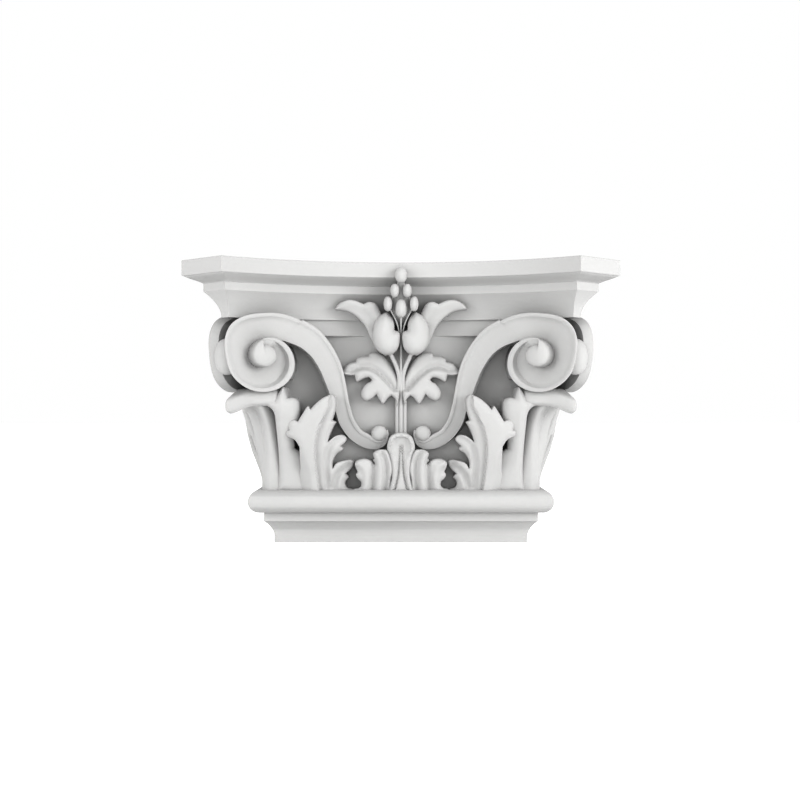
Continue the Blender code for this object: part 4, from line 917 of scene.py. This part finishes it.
def calyx():
    """The arch at the foot of the flower's stems, with a tongue in it."""
    half = smooth_curve(CALYX_HALF, EDGE_STEP)
    outline = np.vstack([half, half[:0:-1] * (-1, 1)])

    def face(points, edge_distance):
        off, z = np.abs(points[:, 0]), points[:, 1]
        tongue_edge = profile(z, TONGUE_HALF_WIDTHS)
        groove = GROOVE_DEPTH * hump((off - tongue_edge) / GROOVE_WIDTH)
        groove *= ease((TONGUE_TOP - z) / TONGUE_FADE)
        leg = ARCH_LEG_RISE * hump((off - profile(z, ARCH_LEG)) / ARCH_LEG_WIDTH)
        hollow = ARCH_HOLLOW_DEPTH * ease((edge_distance - ARCH_RIM) / ARCH_RIM_STEP)
        hollow *= ease((z - ARCH_HOLLOW_FROM) / ARCH_HOLLOW_FADE)
        return CALYX_OUT - edge_drop(edge_distance, CALYX_EDGE) + leg - groove - hollow

    return carving(outline, face)


calyx_shape = calyx()
print("arch:", len(calyx_shape[0]), "points")

# %% [markdown]
# ## Flower
#
# Three thin stems rise from the arch to a spray in the middle: a cut leaf and a bud on each side, a broad
# petal above each bud, and a bunch of grapes that hangs over the abacus.

# %% Make the flower's leaf
FLOWER_LEAF_LOBES = [
    [(3.0, 108.0), (4.6, 113.5)],
    [(7.6, 116.3), (10.0, 114.6), (14.2, 109.7), (17.2, 113.2)],
    [(19.4, 117.2), (23.6, 113.6), (28.0, 112.2), (31.3, 115.2), (31.2, 120.6), (27.6, 125.6), (24.4, 127.3)],
    [(23.3, 128.8), (25.3, 130.6), (29.0, 130.0), (33.0, 128.0), (35.3, 127.2)],
    [(36.9, 132.4), (42.0, 132.3), (46.2, 134.0), (45.8, 137.2), (41.6, 141.6)],
    [(35.9, 143.2), (35.5, 145.4), (31.6, 147.3)],
    [(25.6, 147.8), (24.6, 149.9), (20.4, 150.6), (15.8, 149.2), (11.0, 145.6), (6.2, 138.6), (2.2, 128.6),
     (1.2, 118.0)],
]
FLOWER_LEAF_FOLD = ((6.0, 121.5), (11.5, 128.0), (17.0, 133.5), (24.0, 138.0), (31.0, 138.5), (39.0, 136.0))
FLOWER_LEAF_OUT = 7.5
FLOWER_LEAF_RAISE = 4.2
FLOWER_LEAF_FURROW = (1.4, 5.0)
FLOWER_LEAF_EDGE = (3.4, 5.0)


def flower_leaf_face(points, edge_distance):
    """The leaf on each side of the flower, its lower part raised along a fold."""
    fold_x, fold_z = smooth_curve(FLOWER_LEAF_FOLD, 1.0).T
    below = np.interp(points[:, 0], fold_x, fold_z) - points[:, 1]
    raised = FLOWER_LEAF_RAISE * ease((below + 1.0) / FLOWER_LEAF_RAISE)
    fold = ridge(points, FLOWER_LEAF_FOLD, FLOWER_LEAF_FURROW)
    return FLOWER_LEAF_OUT + raised - fold - edge_drop(edge_distance, FLOWER_LEAF_EDGE)


flower_leaf_shape = carved(FLOWER_LEAF_LOBES, flower_leaf_face)
print("flower leaf:", len(flower_leaf_shape[0]), "points")

# %% Make the petal and the bud
PETAL_LOBES = [
    [(52.0, 183.9), (48.6, 188.4), (41.6, 191.3), (35.2, 190.6)],
    [(29.4, 188.2), (25.0, 189.8), (20.2, 188.6), (17.3, 184.6), (14.0, 176.0), (11.0, 160.0), (10.8, 148.6),
     (14.8, 149.2), (20.2, 154.0), (24.2, 162.4), (28.0, 170.4), (34.0, 177.4), (42.0, 182.4)],
]
PETAL_OUT = ((148.0, 13.0), (165.0, 15.0), (180.0, 19.0), (191.0, 22.0))
PETAL_FURROW = (1.2, 6.0)
PETAL_EDGE = (3.2, 5.5)
PETAL_FOLD = ((15.0, 152.0), (20.0, 166.0), (27.0, 178.0), (38.0, 185.0), (48.0, 186.0))


def petal_face(points, edge_distance):
    """The broad petal over a bud, with a furrow up its middle."""
    fold = ridge(points, PETAL_FOLD, PETAL_FURROW)
    return profile(points[:, 1], PETAL_OUT) - edge_drop(edge_distance, PETAL_EDGE) - fold


BUD_OUTLINE = [
    [(11.2, 182.2), (7.0, 178.0), (5.2, 172.6), (4.9, 167.8)],
    [(3.0, 167.2), (0.9, 165.2), (0.4, 161.0), (1.9, 154.2), (5.0, 150.2), (9.5, 148.2), (15.6, 149.6),
     (20.4, 155.0), (22.4, 163.0), (21.2, 172.0), (16.8, 178.8)],
]
BUD_OUT = 17.0
BUD_SWELL = 7.5
BUD_ROUND = 9.5


def bud_face(points, edge_distance):
    """The smooth round bud under a petal."""
    return BUD_OUT + BUD_SWELL * dome(edge_distance, BUD_ROUND)


petal_shape, bud_shape = carved(PETAL_LOBES, petal_face), carved(BUD_OUTLINE, bud_face)
print("petal:", len(petal_shape[0]), "points, bud:", len(bud_shape[0]), "points")

# %% Make the bunch of grapes
GRAPE_Y = ABACUS_CORNER_Y + ABACUS_HOLLOW - 3.75
GRAPE_BEHIND = 5.6
GRAPE_LEAN = 0.14
GRAPES = ((0.0, 209.8, 4.7, 6.2), (4.8, 197.9, 3.6, 5.4), (10.2, 187.7, 3.5, 5.9), (0.0, 184.3, 4.6, 7.3))
CORE_FOOT_OUT = 4.0
CORE = ((184.0, 12.0), (194.0, 11.0), (206.0, 6.0))
CORE_FOOT = 176.0
CORE_RADII = (7.0, 8.0, 7.0, 2.4)
CORE_SIDES = 24


def on_bunch(x, z):
    """A drawn place in the bunch of grapes, which hangs further forward towards its top."""
    return x, GRAPE_Y + GRAPE_LEAN * (GRAPES[0][1] - z), placed([(x, z)])[0, 1]


def grapes():
    """The bunch of grapes over the flower, from its middle to the right, and the core that carries it."""
    found = [egg(on_bunch(x, z), (width, GRAPE_BEHIND, height)) for x, z, width, height in GRAPES]
    path = [(0, BELL_FRONT - CORE_FOOT_OUT, placed([(0, CORE_FOOT)])[0, 1])]
    path += [(0, GRAPE_Y + behind, placed([(0, z)])[0, 1]) for z, behind in CORE]
    return found + [rod(path, CORE_RADII, CORE_SIDES)]


print("grapes and their core:", len(grapes()), "forms on the right half")

# %% Make the flower's stems and the stalks of the grapes
STEM_Y = SHAFT_FRONT - 0.25
STEM_RADIUS = 1.7
STALK_RADIUS = 0.7
STEM_STEP = 1.5
MIDDLE_STEM = ((0.0, 0.0, 84.0), (0.0, 0.0, 105.0), (0.0, 0.0, 130.0), (0.0, 6.0, 160.0))
MIDDLE_STEM_TOP = (0.0, 180.0)
STEM_THINS = (130.0, 160.0)
OUTER_STEM = ((2.9, -1.0, 84.0), (2.9, -1.0, 112.0), (1.4, 0.0, 128.0), (3.2, 2.0, 138.0), (6.6, 5.0, 146.0),
              (10.0, 9.0, 153.0))
STALK = ((1.0, 7.0, 164.0), (3.5, 12.0, 174.0))
STALK_TOP = (8.6, 184.0)


def stem_path(drawn, top=None):
    """A stem's path through (x, out, z) points, up to a place in the bunch of grapes if it ends there."""
    x, out, z = np.array(drawn).T
    path = np.column_stack([x, STEM_Y - out, placed(np.column_stack([x, z]))[:, 1]])
    if top:
        path = np.vstack([path, on_bunch(*top)])
    return smooth_curve(path, STEM_STEP)


def flower_stems():
    """Three stems that run side by side up to the flower, as its middle one and its right one."""
    middle = stem_path(MIDDLE_STEM, MIDDLE_STEM_TOP)
    thinning = placed([(0, z) for z in STEM_THINS])[:, 1]
    thinned = np.interp(middle[:, 2], thinning, (STEM_RADIUS, STALK_RADIUS))
    return [rod(middle, thinned), rod(stem_path(OUTER_STEM), STEM_RADIUS),
            rod(stem_path(STALK, STALK_TOP), STALK_RADIUS)]


print("stems:", len(flower_stems()), "on the right half, the middle one among them")

# %% [markdown]
# ## Joining
#
# All forms are cast as one body. Each is added to the abacus by a Boolean union, which keeps only the
# outer skin, and the part beyond the wall is cut away. The edges where forms meet stay sharp, level faces
# and the wall face are shaded flat, and all else is shaded smooth.

# %% How a form is made and joined to the others
def add_object(name, shape, collection=None):
    """A mesh object from points in millimetres, with its faces turned out."""
    points, faces = shape
    mesh = bpy.data.meshes.new(name)
    mesh.from_pydata((np.asarray(points) * MM).tolist(), [], [list(map(int, face)) for face in faces])
    edited = bmesh.new()
    edited.from_mesh(mesh)
    bmesh.ops.remove_doubles(edited, verts=edited.verts, dist=1e-6)
    bmesh.ops.triangulate(edited, faces=edited.faces)
    bmesh.ops.recalc_face_normals(edited, faces=edited.faces)
    edited.to_mesh(mesh)
    edited.free()
    made = bpy.data.objects.new(name, mesh)
    (collection or bpy.context.scene.collection).objects.link(made)
    return made


def join_with(piece, name, operation, operand):
    """Add or cut away the operand, a collection or one object, with the modifier applied."""
    change = piece.modifiers.new(name, "BOOLEAN")
    change.operation = operation
    change.solver = "MANIFOLD"
    if isinstance(operand, bpy.types.Collection):
        change.operand_type = "COLLECTION"
        change.collection = operand
    else:
        change.object = operand
    done = bpy.data.meshes.new_from_object(piece.evaluated_get(bpy.context.evaluated_depsgraph_get()))
    piece.modifiers.clear()
    piece.data = done


print("the wall cuts the back at", round(WALL_Y, 2), "mm")

# %% Join everything into one closed skin
SHARP_ANGLE = math.radians(38)
SQUARE_ON = 0.9999
BLOCK_REACH = 2000.0
carvings = bpy.data.collections.new("carvings")
bpy.context.scene.collection.children.link(carvings)
for name, shape in (("lip", lip()), ("base", base()), ("bell", bell()), ("calyx", calyx_shape)):
    add_object(name, shape, carvings)
halves = {"corner_stem": corner_stem(), "pillow": pillow(), "leaf_head": leaf_head(),
          "low_leaf": low_leaf_shape, "petal": petal_shape, "flower_leaf": flower_leaf_shape,
          "bud": bud_shape, "curl": curl(), "scroll": scroll_shape, "half_leaf": half_leaf_shape,
          "corner_leaf": leaf_shape}
halves.update({f"stem_{i}": shape for i, shape in enumerate(flower_stems())})
halves.update({f"grape_{i}": shape for i, shape in enumerate(grapes())})
for name in ("scroll", "half_leaf", "corner_leaf"):
    halves[name + "_side"] = round_the_corner(halves[name])
for name, shape in halves.items():
    add_object(name + "_right", shape, carvings)
    if abs(np.asarray(shape[0])[:, 0].mean()) > 1e-6:
        add_object(name + "_left", mirrored(shape), carvings)

casting = add_object("casting", abacus())
join_with(casting, "carvings", "UNION", carvings)
far = BLOCK_REACH
block = [np.array([(-far, WALL_Y, z), (far, WALL_Y, z), (far, far, z), (-far, far, z)]) for z in (-far, far)]
behind = add_object("behind_wall", loft(block))
join_with(casting, "wall", "DIFFERENCE", behind)
for helper in list(carvings.objects) + [behind]:
    bpy.data.objects.remove(helper)
for polygon in casting.data.polygons:
    level_or_wall = abs(polygon.normal.z) > SQUARE_ON or polygon.normal.y > SQUARE_ON
    polygon.use_smooth = not level_or_wall
casting.data.set_sharp_from_angle(angle=SHARP_ANGLE)
print("casting:", len(casting.data.polygons), "faces")

# %% [markdown]
# ## Plaster
#
# Casting plaster is white with a warm tinge, quite matt, and almost even. Close to, it has a fine grain,
# small rises and dips left by the modeller's tool, and a few pinholes from air in the mix.

# %% Let shader values be written as sums
class Socket:
    """A shader value that takes part in sums, so that a material reads as arithmetic."""

    def __init__(self, tree, out):
        self.tree = tree
        self.out = out

    def node(self, kind, **inputs):
        """Another node in the same tree, its inputs filled in."""
        made = self.tree.nodes.new(kind)
        for name, value in inputs.items():
            self.join(value, made.inputs[name])
        return Socket(self.tree, made.outputs[0])

    def join(self, value, socket):
        if isinstance(value, Socket):
            self.tree.links.new(value.out, socket)
        else:
            socket.default_value = value

    def sum(self, operation, *values):
        made = self.tree.nodes.new("ShaderNodeMath")
        made.operation = operation
        for value, socket in zip(values, made.inputs):
            self.join(value, socket)
        return Socket(self.tree, made.outputs[0])

    def __add__(self, other):
        return self.sum("ADD", self, other)

    def __sub__(self, other):
        return self.sum("SUBTRACT", self, other)

    def __rsub__(self, other):
        return self.sum("SUBTRACT", other, self)

    def __mul__(self, other):
        return self.sum("MULTIPLY", self, other)

    __radd__ = __add__
    __rmul__ = __mul__


print("shader values can be added, taken away and multiplied")

# %% Give it the plaster
PLASTER_TONE = 0.51
PLASTER_WARMTH = (0.001, 0.004)
PLASTER_ROUGHNESS = 0.66
PLASTER_SHINE = 0.35
BLOTCH_SCALE = 22.0
BLOTCH_TONE = 0.02
BLOTCH_ROUGHNESS = 0.06
GRAIN_SCALE = 900.0
GRAIN_TONE = 0.012
GRAIN_ROUGHNESS = 0.12
GRAIN_RELIEF = 0.08
TOOL_MARK_SCALE = 130.0
TOOL_MARK_RELIEF = 0.7
RELIEF_STRENGTH = 0.35
RELIEF_HEIGHT = 0.0006


def plaster_material():
    """Matt plaster with faint blotches, a fine grain and shallow marks of the tool."""
    plaster = bpy.data.materials.new("plaster")
    plaster.use_nodes = True
    tree = plaster.node_tree
    shader = tree.nodes["Principled BSDF"]
    place = Socket(tree, tree.nodes.new("ShaderNodeTexCoord").outputs["Object"])
    noise = "ShaderNodeTexNoise"
    blotches = place.node(noise, Vector=place, Scale=BLOTCH_SCALE, Detail=3.0, Roughness=0.5)
    grain = place.node(noise, Vector=place, Scale=GRAIN_SCALE, Detail=2.0, Roughness=0.6)
    tool_marks = place.node(noise, Vector=place, Scale=TOOL_MARK_SCALE, Detail=2.0, Roughness=0.5)
    tone = PLASTER_TONE + BLOTCH_TONE * blotches + GRAIN_TONE * grain
    green, blue = (tone - less for less in PLASTER_WARMTH)
    colour = place.node("ShaderNodeCombineColor", Red=tone, Green=green, Blue=blue)
    colour.join(colour, shader.inputs["Base Color"])
    rough = PLASTER_ROUGHNESS + GRAIN_ROUGHNESS * grain + BLOTCH_ROUGHNESS * blotches
    colour.join(rough, shader.inputs["Roughness"])
    height = TOOL_MARK_RELIEF * tool_marks + GRAIN_RELIEF * grain
    bump = place.node("ShaderNodeBump", Height=height, Strength=RELIEF_STRENGTH, Distance=RELIEF_HEIGHT)
    bump.join(bump, shader.inputs["Normal"])
    shader.inputs["Specular IOR Level"].default_value = PLASTER_SHINE
    return plaster


casting.data.materials.clear()
casting.data.materials.append(plaster_material())
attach(casting, "root")
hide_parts("capital")
print("material:", casting.data.materials[0].name)

# %% [markdown]
# ## Floor, light and camera
#
# The capital stands on a plain pale floor under a white sky, so soft light reaches it from all round. The
# floor glows a little, as white paper would that is lit from above. A lamp on the right, a weaker one on
# the left and a faint one in front shape the carving, and a gamma below 1 deepens its hollows. The camera
# looks straight at it, level with the middle of the leaves.

# %% Lay the floor
FLOOR_CORNERS = [(-4000, -3000, 0), (4000, -3000, 0), (4000, 5000, 0), (-4000, 5000, 0)]
FLOOR_PAINT = {"Base Color": (0.7, 0.7, 0.7, 1), "Roughness": 0.9, "Emission Color": (1, 1, 1, 1),
               "Emission Strength": 0.4}
floor = add_object("floor", (FLOOR_CORNERS, [(0, 1, 2, 3)]))
floor_paint = bpy.data.materials.new("floor_paint")
floor_paint.use_nodes = True
for name, value in FLOOR_PAINT.items():
    floor_paint.node_tree.nodes["Principled BSDF"].inputs[name].default_value = value
floor.data.materials.append(floor_paint)
print("floor glows with strength", FLOOR_PAINT["Emission Strength"])

# %% Light it from the sky and with three soft lamps
SKY_STRENGTH = 1.0
LAMP_SIZE = 0.9
LAMPS_AIM = Vector((0, -0.02, 0.11))
LAMPS = (("right_light", (1.4, -1.0, 0.55), 15.5), ("left_light", (-1.4, -1.0, 0.55), 9.5),
         ("front_light", (0, -1.9, 0.3), 4.5))
scene = bpy.context.scene
world = bpy.data.worlds.new("white")
world.use_nodes = True
world.node_tree.nodes["Background"].inputs["Color"].default_value = (1, 1, 1, 1)
world.node_tree.nodes["Background"].inputs["Strength"].default_value = SKY_STRENGTH
scene.world = world
for name, place, watts in LAMPS:
    lamp = bpy.data.lights.new(name, "AREA")
    lamp.size = LAMP_SIZE
    lamp.energy = watts
    light = bpy.data.objects.new(name, lamp)
    light.location = place
    light.rotation_euler = (LAMPS_AIM - light.location).to_track_quat("-Z", "Y").to_euler()
    scene.collection.objects.link(light)
print("lamps give", sum(watts for _, _, watts in LAMPS), "watts")

# %% Set the camera where the photograph was taken from
PHOTO_WIDTH_PX = 800
MIDDLE_LINE_PX = 401
CAMERA_AWAY = 0.960
CAMERA_HEIGHT = 0.1128
FOCAL_PX = 1297
SENSOR = 36.0
GAMMA = 0.55
camera_data = bpy.data.cameras.new("camera")
camera_data.sensor_width = SENSOR
camera_data.lens = FOCAL_PX / PHOTO_WIDTH_PX * SENSOR
camera_data.shift_x = (PHOTO_WIDTH_PX / 2 - MIDDLE_LINE_PX) / PHOTO_WIDTH_PX
camera = bpy.data.objects.new("camera", camera_data)
camera.location = (0, ABACUS_CORNER_Y * MM - CAMERA_AWAY, CAMERA_HEIGHT)
camera.rotation_euler = (math.pi / 2, 0, 0)
scene.collection.objects.link(camera)
scene.camera = camera
scene.view_settings.view_transform = "Standard"
scene.view_settings.exposure = 0.0
scene.view_settings.gamma = GAMMA
print("camera", round(camera_data.lens, 1), "mm, at", [round(v, 3) for v in camera.location])

# %% Finish
print("the scene is built")
